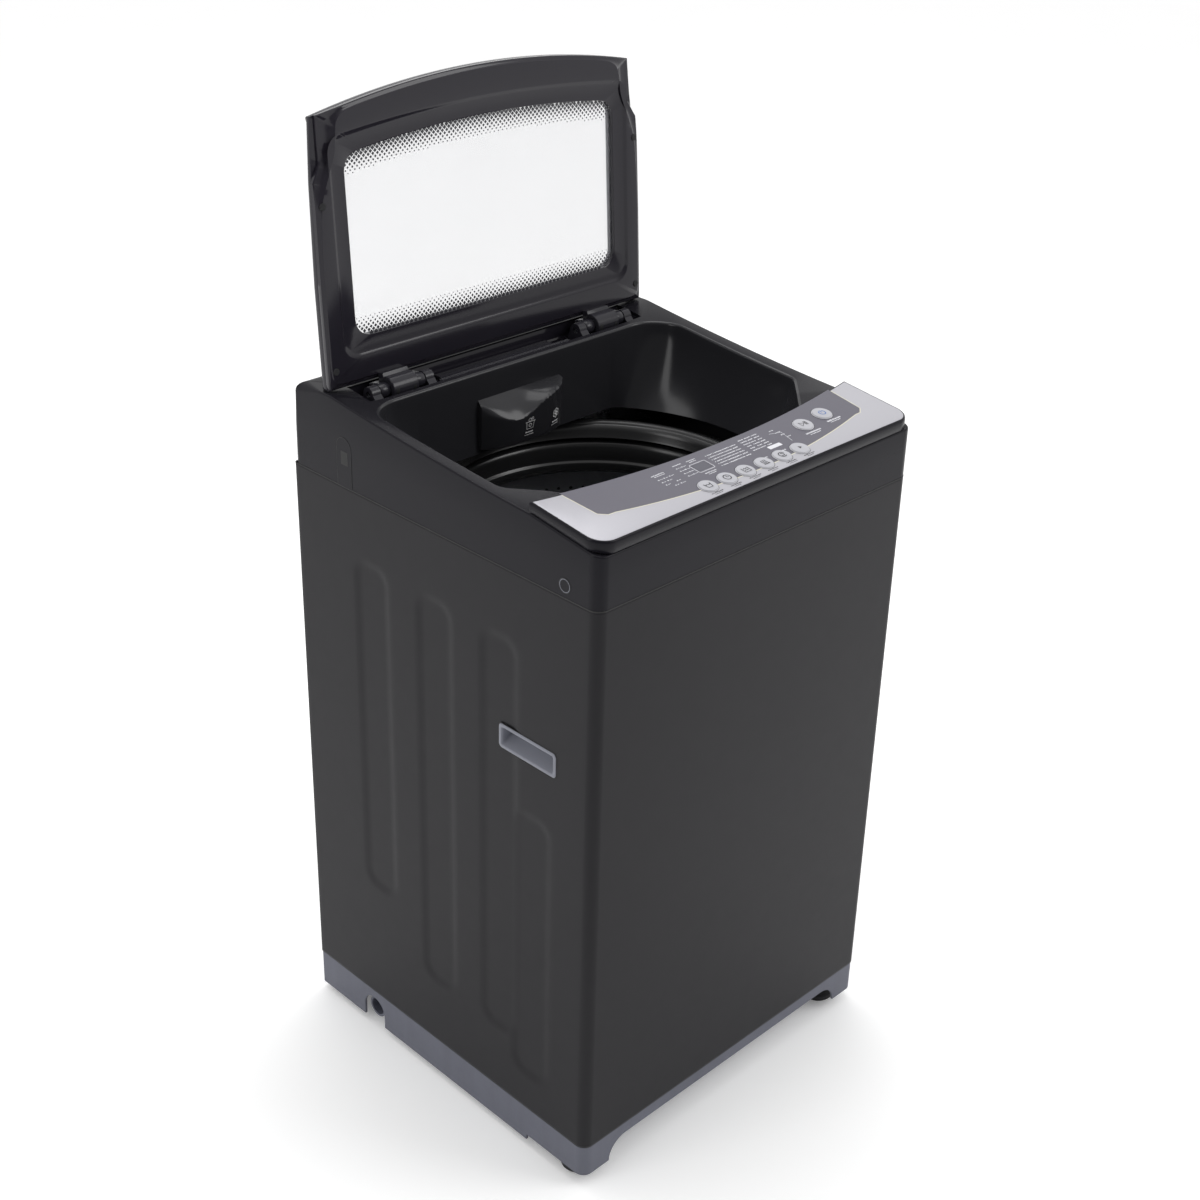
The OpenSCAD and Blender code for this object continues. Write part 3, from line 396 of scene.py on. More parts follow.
@dataclass(frozen=True)
class Perforated:
    """The basket's rolled steel with rows of small holes between plain bands; the holes are not cut, and
    their near-black colour is painted shade.
    """

    name: str = "perforated_drum_steel"
    radius: float = 0.2125
    pitch: float = 0.0165
    hole: float = 0.0021

    def make(self) -> bpy.types.Material:
        """Build the material.

        Returns:
            The material.
        """
        g = Graph(self.name)
        x, y, z = g.axes()
        turn = g.node("ShaderNodeMath", {"operation": "ARCTAN2"}, {0: y, 1: x}) * (self.radius / self.pitch)
        level = z / self.pitch
        across = g.node("ShaderNodeMath", {"operation": "FRACT"}, {0: turn}) - 0.5
        along = g.node("ShaderNodeMath", {"operation": "FRACT"}, {0: level}) - 0.5
        reach = (across * across + along * along) ** 0.5 * self.pitch
        hole = g.ramp(reach, self.hole + 0.0004, self.hole - 0.0002) * (z < 0.68) * (z > 0.33)
        grain = g.noise(260.0, 4.0, (1.0, 1.0, 9.0), 0.6)
        steel = g.mix(grain, shade("8b8c90"), shade("a6a7ab"))
        return g.surface({
            # painted shade: near-black in each hole stands in for the dark gap seen through it
            "Base Color": g.mix(hole, steel, shade("08080a")), "Metallic": 0.85 - 0.8 * hole,
            "Roughness": 0.34 + 0.12 * grain + 0.3 * hole, "Normal": g.bump(1 - hole, 0.0008, 0.8)})


@dataclass(frozen=True)
class Rubber:
    """Dull rubber with a dusty grain."""

    name: str = "black_rubber"
    colour: str = "1c1c1e"

    def make(self) -> bpy.types.Material:
        """Build the material.

        Returns:
            The material.
        """
        g = Graph(self.name)
        base = shade(self.colour)
        grain = g.noise(700.0, 3.0)
        tone = g.mix(grain, tinted(base, 0.8), tinted(base, 1.5))
        return g.surface({
            "Base Color": tone, "Roughness": 0.72 + 0.16 * grain, "Normal": g.bump(grain, 0.00012, 0.6)})


@dataclass(frozen=True)
class ClearGlass:
    """Toughened glass, clear with a slight cast and faint waviness."""

    name: str = "toughened_glass"
    clearness: float = 0.84

    def make(self) -> bpy.types.Material:
        """Build the material.

        Returns:
            The material.
        """
        g = Graph(self.name)
        haze = g.noise(9.0, 3.0)
        return g.surface({
            "Base Color": g.mix(haze, shade("d6d7dd"), shade("dedfe4")), "Roughness": 0.03 + 0.03 * haze,
            "Alpha": 1 - self.clearness * (0.97 + 0.03 * haze), "Normal": g.bump(haze, 0.0002, 0.05)})


@dataclass(frozen=True)
class Ink:
    """Screen printed ink with a slightly uneven film."""

    name: str
    colour: str

    def make(self) -> bpy.types.Material:
        """Build the material.

        Returns:
            The material.
        """
        g = Graph(self.name)
        base = shade(self.colour)
        film = g.noise(800.0, 2.0)
        tone = g.mix(film, tinted(base, 0.88), tinted(base, 1.05))
        return g.surface({"Base Color": tone, "Roughness": 0.45 + 0.1 * film})


class Look(Enum):
    """Every finish used on the machine."""

    PAINT = SatinPaint()
    FRAME = Moulded("charcoal_gloss_plastic", "28272d", 0.2, 0.05, 1500.0, specular=0.3)
    FUNNEL = Moulded("black_gloss_plastic", "2a2a2d", 0.17, 0.05, 900.0, specular=0.3)
    SKIRT = Moulded("charcoal_satin_plastic", "1a191e", 0.24, 0.05, 1500.0, specular=0.12)
    LID = Moulded("lid_gloss_plastic", "201e26", 0.13, 0.04, 1200.0, specular=0.4)
    LID_INNER = Moulded("lid_inner_plastic", "25232a", 0.12, 0.03, 1200.0, specular=0.34)
    RING = Moulded("dark_ring_plastic", "272728", 0.24, 0.2, 1000.0)
    HANDLE = Moulded("grey_handle_plastic", "7a7c86", 0.5, 0.5, 1300.0)
    BASE = Moulded("blue_grey_base_plastic", "5b5d69", 0.55, 0.5, 1100.0, 0.9, variation=0.12)
    SILVER = MetallicPaint()
    FILM = Moulded("violet_grey_film", "55535e", 0.34, 0.1, 1800.0)
    RIM = Moulded("bright_button_rim", "dedee3", 0.22, 0.04, 1500.0, specular=0.6)
    CAP = Moulded("pearl_button_plastic", "adadb3", 0.3, 0.1, 1500.0)
    DISPLAY = Moulded("smoked_display", "4d4c56", 0.12, 0.05, 1200.0)
    DARK = Moulded("shadow_black_plastic", "0b0b0c", 0.6, 0.2, 900.0)
    TUB = Moulded("pale_tub_plastic", "d6d6d0", 0.5, 0.4, 700.0)
    WHITE = Moulded("natural_nylon", "d8d6cc", 0.48, 0.3, 900.0)
    PULSATOR = Moulded("slate_pulsator_plastic", "4b4c52", 0.3, 0.2, 900.0)
    BOARD = Moulded("green_circuit_board", "2f5d3a", 0.4, 0.3, 500.0)
    SENSOR = Moulded("blue_sensor_plastic", "3a6ea0", 0.42, 0.3, 900.0)
    ZINC = Spangle()
    DRUM = Perforated()
    STEEL = BrushedMetal("turned_steel", "b4b6ba", 0.26)
    ALLOY = BrushedMetal("cast_alloy", "a3a5a9", 0.5, (1.0, 1.0, 1.0), 400.0, 0.0001)
    RUBBER = Rubber()
    GLASS = ClearGlass()
    INK_PALE = Ink("pale_print", "d9d9de")
    INK_CREAM = Ink("cream_print", "d3cfbd")
    INK_DARK = Ink("dark_print", "232228")
    INK_BLUE = Ink("blue_print", "4f6fa8")
    INK_WHITE = Ink("white_print", "f2f2f2")
    INK_DOT = Ink("dark_dot_print", "3d3d42")


class Palette:
    """Makes each finish once."""

    def __init__(self) -> None:
        """Start with nothing made."""
        self.made: dict[Look, bpy.types.Material] = {}

    def __getitem__(self, look: Look) -> bpy.types.Material:
        """Return the material of a finish.

        Args:
            look: the finish.

        Returns:
            Its material, made on first use.
        """
        if look not in self.made:
            self.made[look] = look.value.make()
        return self.made[look]


# ---------------------------------------------------------------- outlines and skins


def rounded(corners: Sequence[tuple[float, float, float]], steps: int = 10) -> list[Flat]:
    """Round the corners of a polygon.

    Args:
        corners: x, y and radius of each corner, in order.
        steps: segments per corner.

    Returns:
        A closed outline.
    """
    out: list[Flat] = []
    count = len(corners)
    for i, (x, y, r) in enumerate(corners):
        c = Vector((x, y))
        if r <= 0:
            out.append((x, y))
            continue
        u = (Vector(corners[i - 1][:2]) - c).normalized()
        v = (Vector(corners[(i + 1) % count][:2]) - c).normalized()
        half = u.angle(v) / 2
        start = c + u * (r / math.tan(half))
        middle = c + (u + v).normalized() * (r / math.sin(half))
        first = start - middle
        sweep = math.pi - 2 * half
        if u.x * v.y - u.y * v.x > 0:
            sweep = -sweep
        for k in range(steps + 1):
            a = sweep * k / steps
            out.append((middle.x + first.x * math.cos(a) - first.y * math.sin(a),
                        middle.y + first.x * math.sin(a) + first.y * math.cos(a)))
    return out


def seen_from(outline: Sequence[Flat], centre: Flat, angles: np.ndarray) -> np.ndarray:
    """Find where rays from a centre cross a star-shaped outline.

    Args:
        outline: closed outline, in order.
        centre: a point inside.
        angles: directions in radians, rising from -pi.

    Returns:
        One point for each direction.
    """
    pts = np.array(outline, float)
    nxt = np.roll(pts, -1, axis=0)
    dense = []
    for a, b in zip(pts, nxt):
        n = max(1, int(np.hypot(*(b - a)) / 1.0))
        dense.extend(a + (b - a) * k / n for k in range(n))
    dense = np.array(dense)
    turn = np.arctan2(dense[:, 1] - centre[1], dense[:, 0] - centre[0])
    order = np.argsort(turn)
    turn, dense = turn[order], dense[order]
    reach = np.hypot(dense[:, 0] - centre[0], dense[:, 1] - centre[1])
    turn = np.concatenate([turn[-1:] - 2 * np.pi, turn, turn[:1] + 2 * np.pi])
    reach = np.concatenate([reach[-1:], reach, reach[:1]])
    r = np.interp(angles, turn, reach)
    return np.stack([centre[0] + r * np.cos(angles), centre[1] + r * np.sin(angles)], axis=1)


def rounded_box(left: float, right: float, low: float, high: float, radius: float, steps: int) -> list[Flat]:
    """Return a rectangle with round corners.

    Args:
        left: its left side.
        right: its right side.
        low: its lower side.
        high: its upper side.
        radius: radius of the corners.
        steps: segments per corner.

    Returns:
        A closed outline.
    """
    corners = [(left, low, radius), (right, low, radius), (right, high, radius), (left, high, radius)]
    return rounded(corners, steps)


def bowed(base: float, half: float, sag: float, across: Iterable[float]) -> list[Flat]:
    """Return points of a shallow arc that touches a base line in the middle.

    Args:
        base: the line's place.
        half: distance from the middle at which the arc has risen by the sag.
        sag: the rise.
        across: places along the line.

    Returns:
        One point for each place.
    """
    big = (half ** 2 + sag ** 2) / (2 * sag)
    return [(x, base + big - math.sqrt(big ** 2 - x ** 2)) for x in across]


def unit(rows: np.ndarray) -> np.ndarray:
    """Scale every row to a length of one."""
    return rows / np.maximum(np.linalg.norm(rows, axis=1, keepdims=True), TINY)


def softened(rows: np.ndarray, rounds: int) -> np.ndarray:
    """Blend every row of a closed list with its two neighbours.

    Args:
        rows: the rows, in order.
        rounds: how many times.

    Returns:
        The blended rows.
    """
    for _ in range(rounds):
        rows = (np.roll(rows, 1, axis=0) + 2 * rows + np.roll(rows, -1, axis=0)) / 4
    return rows


def inset(outline: np.ndarray, depth: float) -> np.ndarray:
    """Pull a closed outline inwards along its normals.

    Args:
        outline: closed outline, anticlockwise.
        depth: distance, which may be negative.

    Returns:
        The new outline, point for point.
    """
    pts = np.asarray(outline, float)
    ahead = unit(np.roll(pts, -1, axis=0) - pts)
    behind = unit(pts - np.roll(pts, 1, axis=0))
    run = unit(ahead + behind)
    normal = np.stack([-run[:, 1], run[:, 0]], axis=1)
    across = np.stack([-ahead[:, 1], ahead[:, 0]], axis=1)
    lean = np.maximum(0.5, np.sum(normal * across, axis=1, keepdims=True))
    return pts + normal * depth / lean


@dataclass
class Skin:
    """Points and faces in millimetres, gathered before they become a piece."""

    points: list[Solid] = field(default_factory=list)
    faces: list[tuple[int, ...]] = field(default_factory=list)
    marks: list[int] = field(default_factory=list)
    paint: int = 0

    def face(self, corners: Sequence[int]) -> None:
        """Add one face in the present paint."""
        self.faces.append(tuple(corners))
        self.marks.append(self.paint)

    def ring(self, pts: Any) -> list[int]:
        """Add a row of points and return their numbers.

        Args:
            pts: the points, in order.

        Returns:
            Their numbers.
        """
        start = len(self.points)
        self.points.extend(tuple(float(c) for c in p) for p in pts)
        return list(range(start, len(self.points)))

    def flat_ring(self, outline: Any, z: Any) -> list[int]:
        """Add an outline at one height, or at a height for each point."""
        levels = z if hasattr(z, "__len__") else [z] * len(outline)
        return self.ring([(p[0], p[1], level) for p, level in zip(outline, levels)])

    def loft(self, rows: Sequence[list[int]], closed: bool = True) -> None:
        """Join rows of points with quads.

        Args:
            rows: rows of equal length.
            closed: whether each row ends where it starts.
        """
        for low, high in zip(rows, rows[1:]):
            n = len(low)
            for i in range(n if closed else n - 1):
                j = (i + 1) % n
                self.face((low[i], low[j], high[j], high[i]))

    def cap(self, row: list[int]) -> None:
        """Close a row with one face."""
        self.face(row)

    def box(self, low: Solid, high: Solid) -> None:
        """Add a box between two corners.

        Args:
            low: its lowest corner.
            high: its highest corner.
        """
        pts = [(low[0], low[1]), (high[0], low[1]), (high[0], high[1]), (low[0], high[1])]
        a, b = self.flat_ring(pts, low[2]), self.flat_ring(pts, high[2])
        self.loft([a, b])
        self.cap(a[::-1])
        self.cap(b)

    def moved(self, matrix: Matrix) -> "Skin":
        """Carry every point through a matrix."""
        self.points = [tuple(matrix @ Vector(p)) for p in self.points]
        return self


@dataclass
class Workshop:
    """Turns skins into pieces that ride on the frame."""

    frame: dict[str, Any]
    palette: Palette

    def piece(self, name: str, skin: Skin, looks: Sequence[Look], body: str,
              replaces: Sequence[str] = (), bevel: float = 0.0, sharp: float = 38.0,
              carve: Sequence[Skin] = ()) -> bpy.types.Object:
        """Make a piece from a skin.

        Args:
            name: the piece's name.
            skin: its points and faces, in millimetres.
            looks: its finishes, in the order of the skin's paints.
            body: the CAD body it rides on.
            replaces: CAD nodes that it stands for.
            bevel: width of a bevel along sharp edges, in millimetres.
            sharp: angle in degrees above which an edge stays sharp.
            carve: closed skins that are cut out of it.

        Returns:
            The object.
        """
        mesh = self.mesh(name, skin)
        for look in looks:
            mesh.materials.append(self.palette[look])
        thing = bpy.data.objects.new(name, mesh)
        bpy.context.scene.collection.objects.link(thing)
        if carve:
            self.cut(thing, carve)
            mesh = thing.data
        mesh.shade_smooth()
        mesh.set_sharp_from_angle(angle=math.radians(sharp))
        if bevel:
            edge = thing.modifiers.new("edge", "BEVEL")
            edge.width = bevel * MM
            edge.segments = 2
            edge.limit_method = "ANGLE"
            edge.angle_limit = math.radians(sharp)
            edge.harden_normals = False
        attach(thing, body)
        if replaces:
            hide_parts(*replaces)
        LOG.info("%s: %d faces on %s", name, len(mesh.polygons), body)
        return thing

    def mesh(self, name: str, skin: Skin) -> bpy.types.Mesh:
        """Turn a skin into a mesh with its faces turned outwards.

        Args:
            name: the mesh's name.
            skin: its points and faces, in millimetres.

        Returns:
            The mesh, in metres.
        """
        mesh = bpy.data.meshes.new(name)
        mesh.from_pydata([(x * MM, y * MM, z * MM) for x, y, z in skin.points], [], skin.faces)
        mesh.polygons.foreach_set("material_index", skin.marks)
        work = bmesh.new()
        work.from_mesh(mesh)
        bmesh.ops.remove_doubles(work, verts=work.verts, dist=1e-6)
        bmesh.ops.recalc_face_normals(work, faces=work.faces)
        work.to_mesh(mesh)
        work.free()
        return mesh

    def cut(self, thing: bpy.types.Object, carve: Sequence[Skin]) -> None:
        """Subtract closed skins from an object and keep the result as its mesh.

        Args:
            thing: the object.
            carve: the closed skins.
        """
        tools = []
        for i, skin in enumerate(carve):
            tool = bpy.data.objects.new(f"cutter_{i}", self.mesh(f"cutter_{i}", skin))
            bpy.context.scene.collection.objects.link(tool)
            step = thing.modifiers.new(f"cut_{i}", "BOOLEAN")
            step.operation = "DIFFERENCE"
            step.solver = "MANIFOLD"
            step.object = tool
            tools.append(tool)
        bpy.context.view_layer.update()
        graph = bpy.context.evaluated_depsgraph_get()
        result = bpy.data.meshes.new_from_object(thing.evaluated_get(graph))
        thing.modifiers.clear()
        thing.data = result
        for tool in tools:
            bpy.data.objects.remove(tool)

    def dress(self, looks: dict[Look, Sequence[str]]) -> None:
        """Give CAD nodes their finish.

        Args:
            looks: the nodes that take each finish.
        """
        for look, nodes in looks.items():
            for node in nodes:
                thing = self.frame["nodes"][node]
                if not thing.material_slots:
                    thing.data.materials.append(self.palette[look])
                for holder in thing.material_slots:
                    holder.material = self.palette[look]


# ---------------------------------------------------------------- the machine's shared sizes


@dataclass(frozen=True)
class Sizes:
    """Sizes in millimetres that several sub-assemblies share."""

    half_width: float = 260.0
    half_depth: float = 257.0
    sheet_low: float = 63.0
    sheet_high: float = 790.0
    corner: float = 14.0
    nose_y: float = -153.0
    crest_end: float = 180.0
    panel_z: float = 867.0
    panel_slope: float = math.tan(math.radians(7.0))
    hinge_y: float = 172.0
    hinge_z: float = 888.0
    knuckle_x: float = 166.0
    knuckle_w: float = 66.0
    lid_open: float = 98.8
    lid_slope: float = 5.2

    def crest(self, y: float) -> float:
        """Height of the top frame's edge at a depth.

        Args:
            y: the depth.

        Returns:
            The height.
        """
        if y < self.nose_y:
            return self.seam(y)
        t = min(1.0, (y - self.nose_y) / (self.crest_end - self.nose_y))
        return self.sheet_high + 77 + 29 * t - 12.4 * t * (1 - t)

    def seam(self, y: float) -> float:
        """Height of the seam under the control panel at a depth."""
        return self.sheet_high + 62.5 + (y + self.half_depth) * 14.5 / 104

    def panel_top(self, y: float) -> float:
        """Height of the control panel's face at a depth."""
        return self.panel_z + (y + self.half_depth) * self.panel_slope

    def body_plan(self, pull: float = 0.0, rear: float = 4.0) -> list[Flat]:
        """Outline of the cabinet from above, anticlockwise."""
        w, d, r = self.half_width - pull, self.half_depth - pull, self.corner - pull / 2
        return rounded([(-w, -d, r), (w, -d, r), (w, d, rear), (-w, d, rear)], 14)

    def lid_place(self) -> Matrix:
        """Matrix from the closed lid's own frame to the open lid.

        Returns:
            The matrix, in millimetres.
        """
        turn = Matrix.Rotation(math.radians(-self.lid_open), 4, "X")
        lean = Matrix.Rotation(math.radians(self.lid_slope), 4, "X")
        hinge = Matrix.Translation((0, self.hinge_y, self.hinge_z))
        return hinge @ turn @ Matrix.Translation((0, -11.6, 13.1)) @ lean


# ---------------------------------------------------------------- cabinet


@dataclass
class Cabinet:
    """The painted shell with its stamped panels, the side grips, the dark joint lines and the painted shade
    of the clips' slots.
    """

    sizes: Sizes
    sheet: float = 1.2
    stamp: float = 1.5
    stamp_edge: float = 11.0
    stamp_r: float = 20.0
    rear_return: float = 242.0
    grip_margin: float = 2.4
    stamps: tuple[tuple[float, float, float, float], ...] = (
        (88.0, 143.0, 244.0, 704.0), (-25.0, 31.0, 161.0, 704.0),
        (-134.0, -78.0, 161.0, 704.0), (-189.0, -133.0, 118.0, 493.0))
    handle_y: float = -153.0
    handle_z: float = 579.0
    handle_w: float = 92.0
    handle_h: float = 31.0
    grip_deep: float = 24.0
    grip_shallow: float = 18.0

    def depth(self, y: float, z: float) -> float:
        """Depth of the stamping at a point of the side.

        Args:
            y: place along the side.
            z: height.

        Returns:
            How far the sheet is pushed in.
        """
        deepest = 0.0
        for y0, y1, z0, z1 in self.stamps:
            r = self.stamp_r
            dx = abs(y - (y0 + y1) / 2) - ((y1 - y0) / 2 - r)
            dz = abs(z - (z0 + z1) / 2) - ((z1 - z0) / 2 - r)
            gap = math.hypot(max(dx, 0.0), max(dz, 0.0)) + min(max(dx, dz), 0.0) - r
            t = min(1.0, max(0.0, (self.stamp_edge / 2 - gap) / self.stamp_edge))
            deepest = max(deepest, self.stamp * t * t * (3 - 2 * t))
        return deepest

    def lines(self, low: float, high: float, pitch: float, fixed: Sequence[float]) -> list[float]:
        """Grid lines between two limits that pass through the fixed ones.

        Args:
            low: the first limit.
            high: the last limit.
            pitch: the usual distance between lines.
            fixed: places that a line has to pass.

        Returns:
            The places, rising.
        """
        marks = sorted({low, high, *fixed})
        out = [low]
        for a, b in zip(marks, marks[1:]):
            n = max(1, round((b - a) / pitch))
            out.extend(a + (b - a) * k / n for k in range(1, n + 1))
        return out

    def shell(self) -> Skin:
        """Build the painted sheet as one open wrap with rear returns.

        Returns:
            The sheet without thickness.
        """
        s = self.sizes
        skin = Skin()
        m = self.grip_margin
        hy = (self.handle_y - self.handle_w / 2 + m, self.handle_y + self.handle_w / 2 - m)
        hz = (self.handle_z - self.handle_h / 2 + m, self.handle_z + self.handle_h / 2 - m)
        ys = self.lines(-s.half_depth + s.corner, s.half_depth - 4, 5.0, hy)
        zs = self.lines(s.sheet_low, s.sheet_high, 5.0, (*hz, 66.0, 787.0))
        front = rounded([(-s.half_width, -s.half_depth, s.corner), (s.half_width, -s.half_depth, s.corner),
                         (s.half_width, 0, 0), (-s.half_width, 0, 0)], 14)[:-2]
        left = [(-s.half_width, y) for y in reversed(ys)]
        right = [(s.half_width, y) for y in ys]
        bend = [(s.half_width - 4 + 4 * math.cos(a), s.half_depth - 4 + 4 * math.sin(a))
                for a in (math.pi / 8 * k for k in range(1, 5))]
        mirrored = [(-x, y) for x, y in reversed(bend)]
        path = [(-self.rear_return, s.half_depth), *mirrored, *left[:-1], *front, *right[1:], *bend,
                (self.rear_return, s.half_depth)]
        spans: list[list[int]] = []
        for z in zs:
            row = []
            for x, y in path:
                push = self.depth(y, z) if abs(abs(x) - s.half_width) < 1e-6 else 0.0
                row.append((x - math.copysign(push, x), y, z))
            spans.append(skin.ring(row))
        for low, high, z0, z1 in zip(spans, spans[1:], zs, zs[1:]):
            for i in range(len(path) - 1):
                (xa, ya), (xb, yb) = path[i], path[i + 1]
                side = abs(abs(xa) - s.half_width) < 1e-6 and abs(abs(xb) - s.half_width) < 1e-6
                mid_y, mid_z = (ya + yb) / 2, (z0 + z1) / 2
                if side and hy[0] < mid_y < hy[1] and hz[0] < mid_z < hz[1]:
                    continue
                skin.face((low[i], low[i + 1], high[i + 1], high[i]))
        return skin

    def grip_outline(self, grow: float, radius: float) -> list[Flat]:
        """Return a grip's outline round its middle, grown by a distance."""
        w, h = self.handle_w / 2 + grow, self.handle_h / 2 + grow
        return rounded_box(-w, w, -h, h, radius, 6)

    def handle(self, side: int) -> Skin:
        """Build one recessed grip with a rounded frame and a sloping floor.

        Args:
            side: -1 for the left grip, 1 for the right one.

        Returns:
            The grip.
        """
        skin = Skin()
        rows = []
        for grow, radius, out in ((-1.0, 4, -0.4), (0.0, 5, -0.1), (0.0, 5, 0.5), (-0.6, 4.6, 0.95),
                                  (-3.0, 3.6, 1.0), (-3.8, 3.2, 0.8), (-4.6, 3.0, -0.5), (-5.4, 3.0, -3.0)):
            rows.append(skin.ring([(-out, y, z) for y, z in self.grip_outline(grow, radius)]))
        floor = []
        for y, z in self.grip_outline(-6.5, 3.0):
            floor.append((self.grip_deep if z > 0 else self.grip_shallow, y, max(z, 0.5)))
        rows.append(skin.ring(floor))
        skin.loft(rows)
        skin.cap(rows[-1])
        place = Matrix.Translation((-self.sizes.half_width, self.handle_y, self.handle_z))
        skin.moved(place)
        if side > 0:
            skin.moved(Matrix.Scale(-1, 4, (1, 0, 0)))
        return skin

    def gap(self, side: int) -> Skin:
        """Build the dark joint line round one grip.

        Args:
            side: -1 for the left grip, 1 for the right one.

        Returns:
            The line.
        """
        skin = Skin()
        rows = []
        for grow in (-0.5, 1.0):
            rows.append(skin.ring([(-self.sizes.half_width - 0.12, self.handle_y + y, self.handle_z + z)
                                   for y, z in self.grip_outline(grow, 5)]))
        skin.loft(rows)
        if side > 0:
            skin.moved(Matrix.Scale(-1, 4, (1, 0, 0)))
        return skin

    def side_joints_and_slot_shade(self, shop: Workshop) -> None:
        """Draw the joint lines round the latch clip and the screw cap, and the clip's slot, which is not cut:
        its dark fill is painted shade.

        Args:
            shop: the workshop that makes the pieces.
        """
        for side, word in ((-1, "left"), (1, "right")):
            x = side * (self.sizes.half_width + 0.16)
            lines = Print(lambda y, z, at=x: (at, y, z))
            clip = [(159 + 13 * math.cos(a), 839 + 13 * math.sin(a)) for a in np.linspace(0, math.pi, 14)]
            lines.line([(172, 790.5), *clip, (146, 790.5)], 0.9)
            # painted shade: the clip's slot is a flat dark patch, not an opening
            lines.shape([(152, 818), (164.5, 818), (164.5, 835), (152, 835)])
            lines.ring(-207.5, 804.5, 8.3, 0.9)
            shop.piece(f"side_joints_and_slot_shade_{word}", lines.skin, [Look.DARK], "cabinet")
            rim = Print(lambda y, z, at=x: (at + side * 0.05, y, z))
            rim.ring(-207.5, 804.5, 7.4, 0.7)
            shop.piece(f"cap_rim_{word}", rim.skin, [Look.HANDLE], "cabinet")

    def seams(self, shop: Workshop) -> None:
        """Lay the dark joint line under the top frame.

        Args:
            shop: the workshop that makes the pieces.
        """
        s = self.sizes
        plan = np.array(s.body_plan(-0.08))
        skin = Skin()
        skin.loft([skin.flat_ring(plan, s.sheet_high - 1.0), skin.flat_ring(plan, s.sheet_high + 0.8)])
        shop.piece("frame_joint", skin, [Look.DARK], "cabinet")

    def build(self, shop: Workshop) -> None:
        """Make the cabinet's pieces.

        Args:
            shop: the workshop that makes the pieces.
        """
        self.side_joints_and_slot_shade(shop)
        self.seams(shop)
        thing = shop.piece("cabinet_sheet", self.shell(), [Look.PAINT], "cabinet",
                           ["cabinet_shell"], sharp=50)
        wall = thing.modifiers.new("sheet", "SOLIDIFY")
        wall.thickness = self.sheet * MM
        wall.offset = -1
        for side, word in ((-1, "left"), (1, "right")):
            shop.piece(f"grip_{word}", self.handle(side), [Look.HANDLE], "cabinet",
                       ["side_handles"] if side < 0 else ())
            shop.piece(f"grip_joint_{word}", self.gap(side), [Look.DARK], "cabinet")


# ---------------------------------------------------------------- top frame


